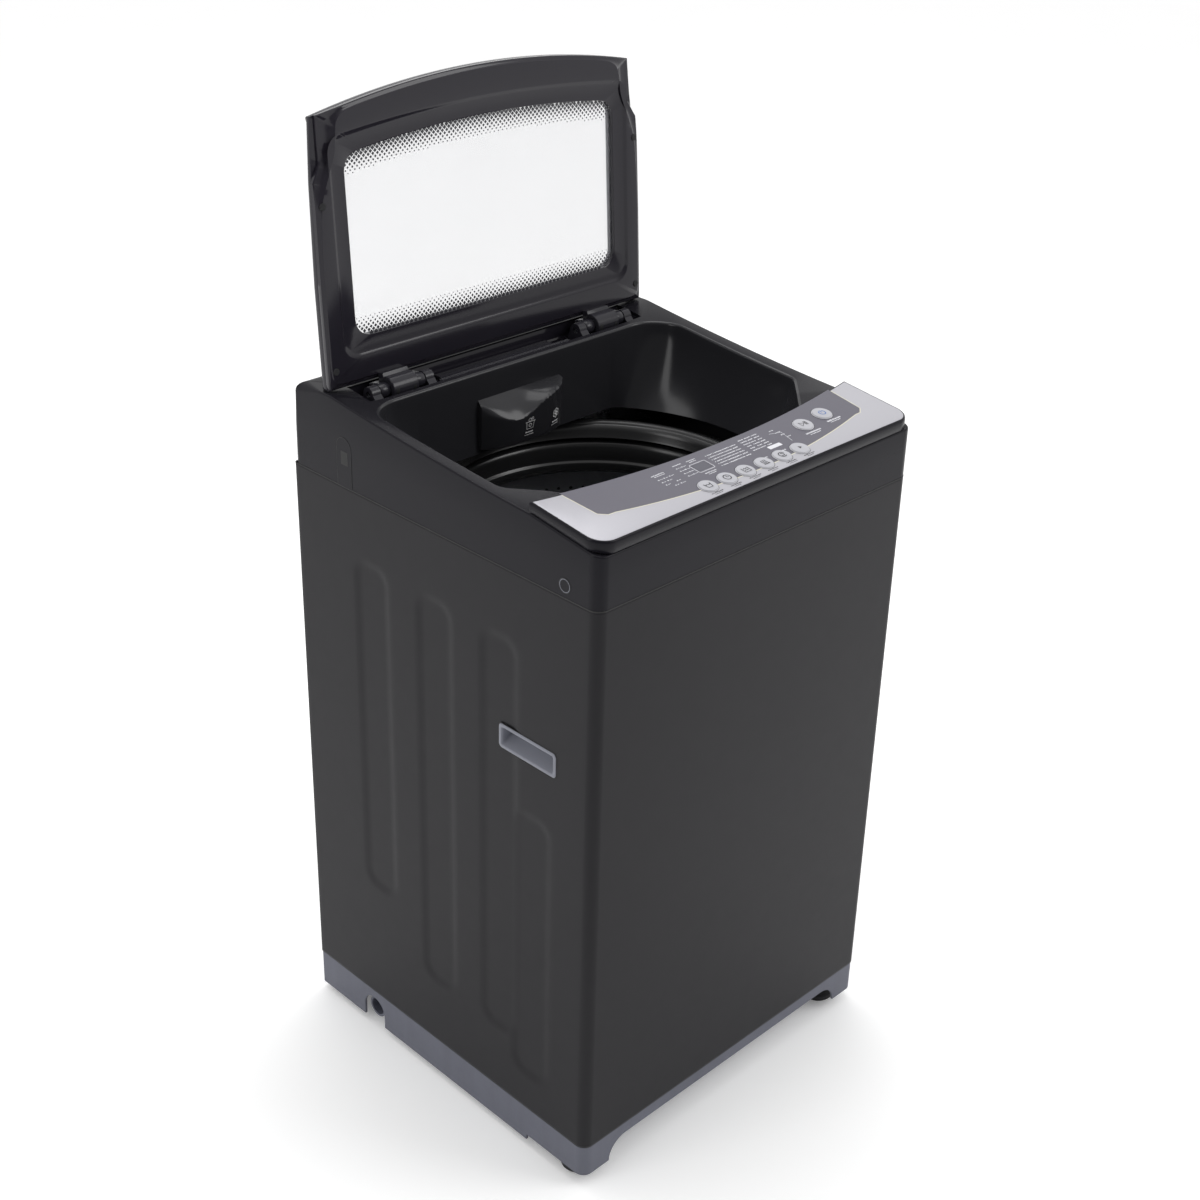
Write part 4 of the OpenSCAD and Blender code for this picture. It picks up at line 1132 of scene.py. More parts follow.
@dataclass
class TopFrame:
    """The moulded top: outer skirt, rim, funnel, hinge tray and inlet pocket."""

    sizes: Sizes
    wall: float = 3.0
    edge_r: float = 2.2
    rear_r: float = 9.8
    lip_r: float = 3.5
    steps: int = 14
    mouth_r: float = 220.0
    mouth_z: float = 780.0
    open_x: float = 240.0
    open_rear: float = 146.0
    open_front: float = -150.0
    tray: tuple[float, float, float, float] = (-222.0, 222.0, 155.0, 199.0)
    tray_floor: float = 871.0

    def opening(self) -> list[Flat]:
        """Outline of the opening at the rim.

        Returns:
            The outline, anticlockwise.
        """
        x = self.open_x
        return rounded([(x, self.open_rear, 46), (-x, self.open_rear, 46), (-x, -88, 24),
                        (-178, self.open_front, 18), (178, self.open_front, 18), (x, -88, 24)], 12)

    def mouth(self) -> list[Flat]:
        """Outline of the mouth over the tub.

        Returns:
            The outline, anticlockwise.
        """
        r = self.mouth_r
        turns = np.linspace(-math.pi, math.pi, 240, endpoint=False)
        out = [(r * math.cos(a), r * math.sin(a)) for a in turns]
        return [(x, min(self.open_rear, max(self.open_front, y))) for x, y in out]

    def build(self, shop: Workshop) -> None:
        """Make the frame's pieces.

        Args:
            shop: the workshop that makes the pieces.
        """
        self.frame(shop)
        self.hinge_tray(shop)
        self.inlet_pocket(shop)

    def frame(self, shop: Workshop) -> None:
        """Make the frame itself as one closed wrap, with its cut-outs.

        Args:
            shop: the workshop that makes the pieces.
        """
        s = self.sizes
        corner = [math.atan2(sy * 250, sx * 253) + d for sx in (-1, 1) for sy in (-1, 1)
                  for d in np.linspace(-0.045, 0.045, 15)]
        angles = np.unique(np.concatenate([np.linspace(-math.pi, math.pi, 420, endpoint=False), corner]))
        centre = (0.0, 0.0)
        plan = seen_from(s.body_plan(0.2, 10), centre, angles)
        hole = seen_from(self.opening(), centre, angles)
        mouth = seen_from(self.mouth(), centre, angles)
        mouth = softened(mouth, 10)  # the walls blend where the mouth has corners
        skin = Skin()
        top = np.array([s.crest(y) for y in plan[:, 1]])

        def leaned(p: np.ndarray, z: np.ndarray, pull: Any) -> np.ndarray:
            """Hold points in front of the rear face, which leans forward as it rises.

            Args:
                p: the points, which are changed.
                z: their heights.
                pull: distance by which they are pulled in.

            Returns:
                The points.
            """
            lean = 3.0 + 7.0 * np.clip((z - s.sheet_high) / 94.0, 0, 1)
            p[:, 1] = np.minimum(p[:, 1], s.half_depth - lean - pull)
            return p

        def outer(pull: float, up: float) -> tuple[np.ndarray, np.ndarray]:
            """Outer wall pulled in, at a share of its height, with its leaning rear."""
            z = s.sheet_high + (top - s.sheet_high) * up if up < 1 else top
            return leaned(inset(plan, pull), z, pull), z

        def funnel(t: float) -> np.ndarray:
            """Funnel wall at a share of the way down to the mouth."""
            share = t ** 1.6
            return hole * (1 - share) + mouth * share

        rows: list[list[int]] = [skin.flat_ring(*outer(0, up)) for up in (0.0, 0.5)]
        rear = np.clip((plan[:, 1] - 200) / 40, 0, 1)
        radius = self.edge_r + self.rear_r * rear
        inwards = inset(plan, 1.0) - plan
        for k in range(7):
            a = math.pi / 2 * k / 6
            pull = radius * (1 - math.cos(a))
            z = top - radius + radius * math.sin(a)
            rows.append(skin.flat_ring(leaned(plan + inwards * pull[:, None], z, pull), z))
        rim_drop = 1.2 + 5.5 * np.clip((hole[:, 1] - 100) / 46, 0, 1)
        edge = np.array([s.crest(y) for y in hole[:, 1]]) - rim_drop
        edge = edge - 3.0 * np.clip((-hole[:, 1] - 120) / 30, 0, 1)
        rows.append(skin.flat_ring(inset(hole, -self.lip_r), edge))
        skin.loft(rows)
        skin.paint = 1
        rim = [rows[-1]]
        for k in range(1, 5):
            a = math.pi / 2 * k / 4
            rim.append(skin.flat_ring(inset(hole, self.lip_r * math.sin(a) - self.lip_r),
                                      edge - self.lip_r * (1 - math.cos(a))))
        start = edge - self.lip_r
        for k in range(1, self.steps + 1):
            t = k / self.steps
            rim.append(skin.flat_ring(funnel(t), start * (1 - t) + self.mouth_z * t))
        skin.loft(rim)
        skin.paint = 0
        back = [rim[-1]]
        for k in range(self.steps, -1, -2):
            t = k / self.steps
            back.append(skin.flat_ring(inset(funnel(t), -self.wall),
                                       start * (1 - t) + self.mouth_z * t - (self.wall if t == 0 else 0)))
        p, z = outer(self.wall + 3, 1.0)
        back.append(skin.flat_ring(p, z - 2 * self.wall - 4 * rear))
        back.extend(skin.flat_ring(*outer(self.wall, up)) for up in (0.5, 0.0))
        back.append(rows[0])
        skin.loft(back)
        x0, x1, y0, y1 = self.tray
        cuts = []
        for low, high in (((x0, y0, 850), (x1, y1, 920)), ((-66, 130, 788), (66, 155, 849)),
                          ((121, 212, 811), (179, 270, 861))):
            cuts.append(Skin())
            cuts[-1].box(low, high)
        shop.piece("top_frame_moulding", skin, [Look.SKIRT, Look.FUNNEL], "cabinet",
                   ["top_frame"], sharp=42, carve=cuts)

    def hinge_tray(self, shop: Workshop) -> None:
        """Make the sunk tray behind the opening, with the long rib between the hinges.

        Args:
            shop: the workshop that makes the pieces.
        """
        x0, x1, y0, y1 = self.tray

        def loop(grow: float, radius: float) -> list[Flat]:
            """Outline of the tray, grown by a distance."""
            return rounded_box(x0 - grow, x1 + grow, y0 - grow, y1 + grow, radius, 5)

        def deck(y: float) -> float:
            """Height of the frame's top behind the opening, at a depth."""
            return 884.2 + (y - 149) * 0.112

        skin = Skin()
        rows = []
        for grow, radius, drop in ((2.0, 4.0, -0.1), (0.8, 3.2, -0.5), (0.0, 2.6, 0.6)):
            pts = loop(grow, radius)
            rows.append(skin.flat_ring(pts, [deck(y) - drop for _, y in pts]))
        for grow, radius, z in ((-0.6, 2.4, self.tray_floor + 2), (-2.4, 1.5, self.tray_floor)):
            rows.append(skin.flat_ring(loop(grow, radius), z))
        skin.loft(rows)
        skin.cap(rows[-1])
        shop.piece("hinge_tray", skin, [Look.LID_INNER], "cabinet")
        rib = Skin()
        rib.box((-108, 157.5, self.tray_floor), (104, 170, self.tray_floor + 10.5))
        rib.box((-94, 171, self.tray_floor), (90, 196, self.tray_floor + 5))
        shop.piece("tray_rib", rib, [Look.FRAME], "cabinet", bevel=1.2)

    def inlet_pocket(self, shop: Workshop) -> None:
        """Make the sunk pocket round the water inlet.

        Args:
            shop: the workshop that makes the pieces.
        """
        skin = Skin()
        rows = []
        for grow, y in ((-0.05, 251.0), (-0.4, 249.0), (-0.6, 214.0), (-2.0, 212.5)):
            pts = rounded_box(121 - grow, 179 + grow, 811 - grow, 861 + grow, 4, 4)
            rows.append(skin.ring([(x, y - (z - 811) * 0.08 * (y > 240), z) for x, z in pts]))
        skin.loft(rows)
        inner = skin.ring([(150 + 10.2 * math.cos(a), 212.5, 838 + 10.2 * math.sin(a))
                           for a in np.linspace(-math.pi, math.pi, len(rows[0]), endpoint=False)])
        skin.loft([rows[-1], inner])
        shop.piece("inlet_pocket", skin, [Look.SKIRT], "cabinet")


# ---------------------------------------------------------------- control panel


class Icon(Enum):
    """Marks on the push buttons."""

    TUB = "tub"
    CLOCK = "clock"
    WAVES = "waves"
    SPIRAL = "spiral"
    RINSE = "rinse"
    STEP = "step"
    START = "start"
    POWER = "power"


@dataclass
class Print:
    """Flat marks drawn on a surface given by a function of two coordinates."""

    onto: Callable[[float, float], Solid]
    skin: Skin = field(default_factory=Skin)

    def shape(self, pts: Sequence[Flat]) -> None:
        """Add a filled outline."""
        self.skin.cap(self.skin.ring([self.onto(x, y) for x, y in pts]))

    def bar(self, x: float, y: float, w: float, h: float, turn: float = 0.0) -> None:
        """Add a small bar centred on a point.

        Args:
            x: its middle across.
            y: its middle along.
            w: width.
            h: height.
            turn: turn in radians.
        """
        c, n = math.cos(turn), math.sin(turn)
        self.shape([(x + a * c - b * n, y + a * n + b * c)
                    for a, b in ((-w / 2, -h / 2), (w / 2, -h / 2), (w / 2, h / 2), (-w / 2, h / 2))])

    def dot(self, x: float, y: float, r: float, sides: int = 14) -> None:
        """Add a disc."""
        self.shape([(x + r * math.cos(2 * math.pi * k / sides), y + r * math.sin(2 * math.pi * k / sides))
                    for k in range(sides)])

    def line(self, pts: Sequence[Flat], width: float, closed: bool = False) -> None:
        """Add a line of even width.

        Args:
            pts: the points that it passes.
            width: its width.
            closed: whether it ends where it starts.
        """
        p = np.array(pts, float)
        ahead = np.roll(p, -1, axis=0) - p
        behind = p - np.roll(p, 1, axis=0)
        if not closed:
            ahead[-1] = behind[-1]
            behind[0] = ahead[0]
        run = unit(unit(ahead) + unit(behind))
        side = np.stack([-run[:, 1], run[:, 0]], axis=1) * width / 2
        rows = [self.skin.ring([self.onto(*q) for q in edge]) for edge in (p + side, p - side)]
        self.skin.loft(rows, closed)

    def ring(self, x: float, y: float, r: float, width: float, start: float = 0.0,
             sweep: float = 360.0) -> None:
        """Add a ring or an arc.

        Args:
            x: its middle across.
            y: its middle along.
            r: radius of its middle line.
            width: its width.
            start: first angle in degrees.
            sweep: angle that it covers, in degrees.
        """
        n = max(6, int(abs(sweep) / 10))
        closed = abs(sweep) >= 360
        count = n if closed else n + 1
        turns = [math.radians(start + sweep * k / n) for k in range(count)]
        self.line([(x + r * math.cos(a), y + r * math.sin(a)) for a in turns], width, closed)

    def label(self, x: float, y: float, w: float, seed: int, h: float = 1.25) -> None:
        """Add a row of short bars that stands for a small caption.

        Args:
            x: its middle across.
            y: its middle along.
            w: width.
            seed: number that sets the bars' lengths.
            h: height.
        """
        at = x - w / 2
        k = seed
        while at < x + w / 2 - 0.6:
            k = (k * 7 + 3) % 11
            size = 1.0 + 0.16 * k
            self.bar(at + size / 2, y + (0.12 if k % 2 else -0.08), size, h * (0.95 + 0.06 * (k % 5)))
            at += size + 0.6

    def icon(self, icon: Icon, x: float, y: float, size: float) -> None:
        """Add the mark of one button.

        Args:
            icon: the mark.
            x: its middle across.
            y: its middle along.
            size: half its width.
        """
        w = size * 0.27
        if icon is Icon.TUB:
            self.line([(x - size, y + size * 0.7), (x - size * 0.7, y - size), (x + size * 0.7, y - size),
                       (x + size, y + size * 0.7)], w)
            self.line([(x - size * 0.8, y), (x - size * 0.3, y + size * 0.25), (x + size * 0.3, y),
                       (x + size * 0.8, y + size * 0.25)], w)
        elif icon is Icon.CLOCK:
            self.ring(x, y, size, w)
            self.line([(x, y + size * 0.65), (x, y), (x + size * 0.5, y)], w)
        elif icon is Icon.WAVES:
            self.line([(x - size, y + size * 0.8), (x - size, y - size), (x + size, y - size),
                       (x + size, y + size * 0.8)], w)
            for k in (-0.4, 0.3):
                self.line([(x - size * 0.6, y + size * k), (x - size * 0.2, y + size * (k + 0.25)),
                           (x + size * 0.2, y + size * k), (x + size * 0.6, y + size * (k + 0.25))], w)
        elif icon is Icon.SPIRAL:
            self.ring(x, y, size, w, 20, 300)
            self.ring(x, y, size * 0.5, w, 200, 280)
        elif icon is Icon.RINSE:
            for k in (-0.6, 0, 0.6):
                self.line([(x + size * k, y + size * 0.8), (x + size * (k - 0.15), y),
                           (x + size * (k + 0.1), y - size * 0.8)], w)
            self.line([(x - size, y - size), (x + size, y - size)], w)
        elif icon is Icon.STEP:
            self.shape([(x - size * 0.35, y - size * 0.6), (x + size * 0.6, y),
                        (x - size * 0.35, y + size * 0.6)])
        elif icon is Icon.START:
            self.line([(x - size, y - size * 0.75), (x + size * 0.15, y),
                       (x - size, y + size * 0.75)], w, True)
            self.bar(x + size * 0.5, y, w, size * 1.5)
            self.bar(x + size * 0.95, y, w, size * 1.5)
        elif icon is Icon.POWER:
            self.ring(x, y, size * 0.85, w, 120, 300)
            self.line([(x, y), (x, y + size)], w)


@dataclass
class ControlPanel:
    """Panel body, silver plate, printed inlay and the buttons' rims and marks."""

    sizes: Sizes
    corner_y: float = -151.0
    rear_y: float = -176.0
    half: float = 258.4
    front_y: float = -256.4
    radius: float = 23.0
    film_steps: int = 50
    button_r: float = 9.6
    button_y: float = -234.5
    button_pitch: float = 30.5

    def outline(self) -> list[Flat]:
        """Outline from above: round front corners, rear edge bowed to the front.

        Returns:
            The outline, anticlockwise.
        """
        n = 60
        rear = bowed(self.rear_y, self.half, self.corner_y - self.rear_y,
                     (self.half - 2 * self.half * k / n for k in range(n + 1)))
        sides = rounded([(-self.half, 0, 0), (-self.half, self.front_y, self.radius),
                         (self.half, self.front_y, self.radius), (self.half, 0, 0)], 16)[1:-1]
        steps = [(-self.half, y) for y in np.linspace(self.corner_y, self.front_y + self.radius, 12)[1:-1]]
        reach = self.half - self.radius
        along = [(x, self.front_y) for x in np.linspace(-reach, reach, 30)[1:-1]]
        left, right = sides[:len(sides) // 2], sides[len(sides) // 2:]
        return steps + left + along + right + [(-x, y) for x, y in reversed(steps)] + rear

    def film_outline(self) -> list[Flat]:
        """Outline of the dark inlay.

        Returns:
            The outline, which ends with its rear edge.
        """
        rear = bowed(self.rear_y + 0.8, self.half, self.corner_y - self.rear_y,
                     np.linspace(221, -221, self.film_steps))
        front = []
        for x in np.linspace(-198, 198, 40):
            front.append((x, -240.5 + 23.5 * (abs(x) / 198) ** 2))
        left = rounded([(-222, -150, 0), (-217, -209, 0), (-208, -216.5, 0), (-198, -217, 0)], 1)[1:3]
        return left + front + [(-x, y) for x, y in reversed(left)] + rear

    def on_face(self, lift: float) -> Callable[[float, float], Solid]:
        """Return the map from plan coordinates to the sloping face."""
        c, n = math.cos(math.radians(7)), math.sin(math.radians(7))
        return lambda x, y: (x, y - lift * n, self.sizes.panel_top(y) + lift * c)

    def body(self, shop: Workshop) -> None:
        """Make the dark body with its thin bright shoulder, and the silver plate in it.

        Args:
            shop: the workshop that makes the pieces.
        """
        s = self.sizes
        plan = np.array(self.outline())
        skin = Skin()
        rows = []
        for pull, base, lift in ((3.0, "seam", 0.4), (0.6, "seam", 0.4), (0.0, "seam", 1.0),
                                 (0.0, "top", -4.0), (0.15, "top", -2.2), (0.7, "top", -0.9),
                                 (1.3, "top", -0.3), (1.9, "top", -0.1), (2.3, "top", -0.25),
                                 (2.4, "top", -1.2)):
            p = inset(plan, pull)
            level = [(s.seam(y) if base == "seam" else s.panel_top(y)) + lift for y in p[:, 1]]
            rows.append(skin.flat_ring(p, level))
        skin.loft(rows)
        shop.piece("panel_housing", skin, [Look.SKIRT], "cabinet", ["panel_body"], sharp=60)
        plate = Skin()
        rows = []
        for pull, lift in ((2.45, -1.3), (2.5, -0.2), (2.9, 0.0)):
            p = inset(plan, pull)
            rows.append(plate.flat_ring(p, [s.panel_top(y) + lift for y in p[:, 1]]))
        plate.loft(rows)
        plate.cap(rows[-1])
        shop.piece("silver_plate", plate, [Look.SILVER], "cabinet", ["panel_fascia"],
                   sharp=60)

    def film(self, shop: Workshop) -> None:
        """Make the inlay, its cream border and every printed mark.

        Args:
            shop: the workshop that makes the pieces.
        """
        outline = self.film_outline()
        inlay = Print(self.on_face(0.06))
        inlay.shape(outline)
        shop.piece("inlay_film", inlay.skin, [Look.FILM], "cabinet", ["panel_insert"])
        border = Print(self.on_face(0.1))
        count = len(outline) - self.film_steps
        border.line([(-221.4, -161.0), *outline[:count], (221.4, -161.0)], 1.3)
        shop.piece("inlay_border", border.skin, [Look.INK_CREAM], "cabinet")
        pale = Print(self.on_face(0.12))
        self.marks(pale)
        shop.piece("inlay_marks", pale.skin, [Look.INK_PALE], "cabinet")
        dark = Print(self.on_face(0.08))
        for i, x in enumerate((-76.3, -45.8, -15.3, 15.3, 45.8, 76.3)):
            dark.label(x, -248.2, 17, i + 2, 1.3)
            dark.label(x, -250.9, 11, i + 5, 0.9)
        shop.piece("plate_marks", dark.skin, [Look.INK_DARK], "cabinet")

    def marks(self, p: Print) -> None:
        """Draw captions, lamps and frames as plain generic marks.

        Args:
            p: the print that takes the marks.
        """
        p.label(-104, -186.5, 20, 1)
        p.label(-104, -189.3, 15, 4, 1.0)
        for row in range(4):
            for col in range(3):
                if (row + col) % 4 != 3:
                    p.dot(-112 + 8.5 * col, -196 - 5.8 * row, 0.95)
                    p.label(-108 + 8.5 * col, -196.2 - 5.8 * row, 3.2, row + col, 0.8)
        p.label(-71, -183.5, 13, 2)
        for row in range(4):
            for col in range(2):
                p.dot(-77 + 8 * col, -189.5 - 6 * row, 0.95)
                p.label(-72.8 + 8 * col, -189.7 - 6 * row, 4.0, row + 2 * col, 0.8)
        p.label(-50, -184.5, 14, 5)
        p.label(-50, -187.4, 10, 8, 1.0)
        p.line(rounded_box(-61, -36.5, -209.5, -192, 2, 4), 0.7, True)
        p.label(-49, -214, 18, 7)
        p.label(-49, -217, 12, 3, 1.0)
        for col in range(4):
            for row in range(6):
                p.label(-22 + 12.4 * col, -187.5 - 4.9 * row, 8.4 + (row * 3 + col) % 3, row * 4 + col, 1.3)
                p.dot(-28.6 + 12.4 * col, -187.5 - 4.9 * row, 0.7)
        for col in range(3):
            for row in range(6):
                p.label(32 + 11.5 * col, -184 - 4.9 * row, 7.4 + (row + 2 * col) % 3, row * 5 + col + 1, 1.3)
        p.shape(rounded_box(46, 67, -217.6, -211.6, 1, 3))
        p.line([(72, -192.5), (88, -197), (84, -217)], 0.6)
        for k in range(4):
            p.label(80 + 3 * k, -188.5 - 6.5 * k, 7, k + 2, 1.2)
        p.label(26.5, -226.6, 9, 4, 1.6)
        p.label(57.5, -226.6, 9, 8, 1.6)
        p.label(123, -216.4, 27, 5, 2.3)
        p.label(123, -219.8, 19, 2, 1.2)
        p.label(166.5, -209.8, 22, 7, 2.3)
        p.label(166.5, -213.2, 17, 3, 1.2)

    def buttons(self, shop: Workshop) -> None:
        """Make the dark gap, a thin outer ring of painted shadow, the raised rim and the mark of every
        button.

        Args:
            shop: the workshop that makes the pieces.
        """
        small = self.button_r
        row = (("program", Icon.TUB), ("water", Icon.CLOCK), ("wash", Icon.WAVES), ("rinse", Icon.RINSE),
               ("spin", Icon.SPIRAL), ("delay", Icon.STEP))
        places = [(word, self.button_pitch * (k - 2.5), self.button_y, small, icon)
                  for k, (word, icon) in enumerate(row)]
        places.append(("start", 124.0, -199.5, small + 1, Icon.START))
        places.append(("power", 165.0, -193.5, small + 1, Icon.POWER))
        gap = Print(self.on_face(0.14))
        rim = Print(self.on_face(0.0))
        for word, x, y, r, icon in places:
            gap.ring(x, y, r + 0.5, 0.9)
            # painted shadow: this thin dark ring outside the rim stands in for the shadow round the button,
            # not a joint
            gap.ring(x, y, r + 2.35, 0.5)
            rows = []
            for out, lift in ((0.9, 0.1), (1.1, 0.5), (1.5, 0.7), (1.9, 0.5), (2.1, 0.05)):
                lay, reach = self.on_face(lift), r + out
                rows.append(rim.skin.ring([lay(x + reach * math.cos(a), y + reach * math.sin(a))
                                           for a in np.linspace(0, 2 * math.pi, 40, endpoint=False)]))
            rim.skin.loft(rows)
            mark = Print(self.on_face(2.06))
            mark.icon(icon, x, y, r * 0.47)
            if icon is Icon.POWER:
                ring = Print(self.on_face(1.62))
                ring.ring(x, y, r * 0.86, 0.9)
                shop.piece("power_ring", ring.skin, [Look.INK_BLUE], f"button_{word}_body")
            ink = Look.INK_BLUE if icon is Icon.POWER else Look.INK_DARK
            shop.piece(f"mark_{word}", mark.skin, [ink], f"button_{word}_body")
        shop.piece("button_gaps_and_painted_shadow", gap.skin, [Look.DARK], "cabinet")
        shop.piece("button_rims", rim.skin, [Look.RIM], "cabinet")

    def build(self, shop: Workshop) -> None:
        """Make the panel's pieces.

        Args:
            shop: the workshop that makes the pieces.
        """
        self.body(shop)
        self.film(shop)
        self.buttons(shop)


# ---------------------------------------------------------------- lid


@dataclass
class Lid:
    """The lid's moulded frame, its window with printed dots and the hinge knuckles."""

    sizes: Sizes
    length: float = 335.0
    half: float = 253.5
    nose: float = 245.0
    sag: float = 26.0
    window_half: float = 209.0
    window_near: float = -54.0
    window_far: float = -265.0
    window_bow: float = 12.5
    window_r: float = 21.0
    glass_low: float = 7.0
    glass_t: float = 4.0
    barrel: float = 14.6
    sleeve: float = 9.0
    hood: float = 37.0
    knuckle_w: float = 65.6
    pitch: float = 6.6

    def outline(self, inner: bool = False) -> list[Flat]:
        """Outline of the lid in its own frame, anticlockwise.

        Args:
            inner: whether it is the liner's, which steps in beside the nose.

        Returns:
            The outline.
        """
        half = self.half
        reach = 240.0 if inner else self.nose
        arc = bowed(-self.length, self.nose, self.sag, np.linspace(-reach, reach, 48))
        side = [(240.0, -258), (252, -238)] if inner else [(250, -236)]
        side += [(half, -120), (half, 0)]
        return arc + side + [(-x, y) for x, y in reversed(side)]

    def fold(self) -> list[Flat]:
        """Outline of the flat inner face, which narrows towards the front corners.

        Returns:
            The outline, anticlockwise.
        """
        half = self.half - 4.5
        arc = bowed(5 - self.length, self.nose, self.sag, np.linspace(-217, 217, 40))
        side = [(219, -292), (222, -268), (234, -240), (245, -215), (half, -150), (half, -6)]
        return arc + side + [(-x, y) for x, y in reversed(side)]

    def window(self, grow: float) -> list[Flat]:
        """Outline of the window with its bowed front edge.

        Args:
            grow: distance by which it is larger.

        Returns:
            The outline, anticlockwise.
        """
        w, near, far = self.window_half + grow, self.window_near + grow, self.window_far - grow
        r = self.window_r
        reach = w - 18
        arc = [(x, far - self.window_bow * (1 - (x / reach) ** 2)) for x in np.linspace(-reach, reach, 30)]
        turn = rounded([(w - 20, far, 0), (w, far - 1, r), (w, near, r), (-w, near, r), (-w, far - 1, r),
                        (-w + 20, far, 0)], 8)[1:-1]
        return arc + turn

    def build(self, shop: Workshop) -> None:
        """Make the lid's pieces.

        Args:
            shop: the workshop that makes the pieces.
        """
        place = self.sizes.lid_place()
        angles = np.linspace(-math.pi, math.pi, 480, endpoint=False)
        bends = ((245, -309), (253.5, 0), (240, -310), (240, -258), (252, -238), (219, -292), (222, -268))
        corner = [math.atan2(y + 160, sx * x) + d for x, y in bends for sx in (-1, 1)
                  for d in (-0.01, -0.004, 0.0, 0.004, 0.01)]
        angles = np.unique(np.concatenate([angles, corner]))
        centre = (0.0, -160.0)
        rim = seen_from(self.outline(), centre, angles)
        lip = seen_from(self.outline(True), centre, angles)
        fold = seen_from(self.fold(), centre, angles)

        def win(grow: float) -> np.ndarray:
            """Outline of the window on the lid's rays, grown by a distance."""
            return seen_from(self.window(grow), centre, angles)

        skin = Skin()
        wing = np.clip((np.linalg.norm(rim - fold, axis=1) - 6) / 18, 0, 1)
        wing, fold = softened(wing, 20), softened(fold, 20)
        glass_high = self.glass_low + self.glass_t
        rows = [skin.flat_ring(win(grow), z) for grow, z in (
            (0, self.glass_low - 0.2), (0, 3.2), (0.8, 2.6), (17, 2.2), (19.5, 1.4), (21.5, 0.3), (23, 0.0))]
        rows.append(skin.flat_ring(fold, 0.0))
        for inner, outer, z, rise in ((0.93, 0.07, 0.3, 0.9), (0.72, 0.28, 0.7, 4.3), (0.5, 0.5, 1.0, 5.2)):
            rows.append(skin.flat_ring(fold * inner + lip * outer, z + rise * wing))
        rows.append(skin.flat_ring(inset(lip, 1.2), 1.4 + 5.0 * wing))
        rows.append(skin.flat_ring(lip, 2.4 + 5.2 * wing))
        rows.append(skin.flat_ring(lip, 7.6 + 2.4 * wing))
        skin.loft(rows)
        skin.paint = 1
        side = [rows[-1], skin.flat_ring(inset(rim, 0.3), 8.2 + 2.4 * wing),
                skin.flat_ring(rim, 9.0 + 2.4 * wing)]
        for pull, z in ((0.0, 14.2), (0.4, 15.8), (1.6, 17.2), (3.4, 17.9), (5.5, 18.0), (7.0, 18.0)):
            side.append(skin.flat_ring(inset(rim, pull), z))
        for grow, z in ((19, 18.0), (16, 18.0), (4, 17.6), (1.6, 16.6), (0.8, 14.5), (0.8, glass_high)):
            side.append(skin.flat_ring(win(grow), z))
        skin.loft(side)
        skin.paint = 0
        seat = [skin.flat_ring(win(8), z) for z in (glass_high, self.glass_low)]
        skin.loft([side[-1], *seat, rows[0]])
        skin.moved(place)
        shop.piece("lid_moulding", skin, [Look.LID_INNER, Look.LID], "lid",
                   ["lid_cover", "lid_liner"], sharp=30)
        self.pads(shop, place)
        self.glass(shop, place, angles, centre)
        self.dots(shop, place)
        self.knuckles(shop)

    def pads(self, shop: Workshop, place: Matrix) -> None:
        """Make the four low rubber pads that meet the frame when the lid is shut.

        Args:
            shop: the workshop that makes the pieces.
            place: the matrix of the open lid.
        """
        pads = Skin()
        for x in (-244.0, 244.0):
            for y in (-22.0, -212.0):
                rows = [pads.ring([(x + r * math.cos(a), y + r * math.sin(a), z)
                                   for a in np.linspace(0, 2 * math.pi, 24, endpoint=False)])
                        for r, z in ((4.2, 1.0), (4.2, -0.6), (3.6, -1.2))]
                pads.loft(rows)
                pads.cap(rows[-1])
        pads.moved(place)
        shop.piece("lid_pads", pads, [Look.RUBBER], "lid", ["lid_buffers"])

    def glass(self, shop: Workshop, place: Matrix, angles: np.ndarray, centre: Flat) -> None:
        """Make the pane.

        Args:
            shop: the workshop that makes the pieces.
            place: the matrix of the open lid.
            angles: the lid's rays, in radians.
            centre: the point that the rays leave.
        """
        pane = Skin()
        edge = seen_from(self.window(7.6), centre, angles[::3])
        rows = [pane.flat_ring(inset(edge, 0.5), self.glass_low), pane.flat_ring(edge, self.glass_low + 0.5),
                pane.flat_ring(edge, self.glass_low + self.glass_t - 0.5),
                pane.flat_ring(inset(edge, 0.5), self.glass_low + self.glass_t)]
        pane.loft(rows)
        pane.cap(rows[0])
        pane.cap(rows[-1])
        pane.moved(place)
        shop.piece("window_pane", pane, [Look.GLASS], "lid", ["lid_glass"])

    def dots(self, shop: Workshop, place: Matrix) -> None:
        """Make the two printed bands, whose dots shrink away from the edge.

        Args:
            shop: the workshop that makes the pieces.
            place: the matrix of the open lid.
        """
        for word, depth, strength in (("front", 25.0, 1.0), ("rear", 21.0, 0.86)):
            band = Print(lambda x, y: (x, y, self.glass_low - 0.3))
            for j in range(20):
                for i in range(-40, 41):
                    x = (i + 0.5 * (j % 2)) * self.pitch
                    if word == "front":
                        y = self.window_far - 12 + j * self.pitch / 2
                        bow = self.window_bow * (1 - min(1.0, abs(x) / (self.window_half - 18)) ** 2)
                        away = y + (0.5 - self.window_far) + bow
                    else:
                        y = self.window_near - 0.8 - j * self.pitch / 2
                        away = self.window_near - 0.6 - y
                    beyond = max(0.0, abs(x) - (self.window_half - self.window_r))
                    corner = self.window_r - math.sqrt(max(0.0, self.window_r ** 2 - beyond ** 2))
                    if away < corner or away > depth or abs(x) > self.window_half - 1.5:
                        continue
                    r = self.pitch * 0.5 * strength * (1 - 0.72 * away / depth)
                    band.shape([(x - r, y), (x, y - r), (x + r, y), (x, y + r)])
            band.skin.moved(place)
            shop.piece(f"window_dots_{word}", band.skin, [Look.INK_DOT], "lid")

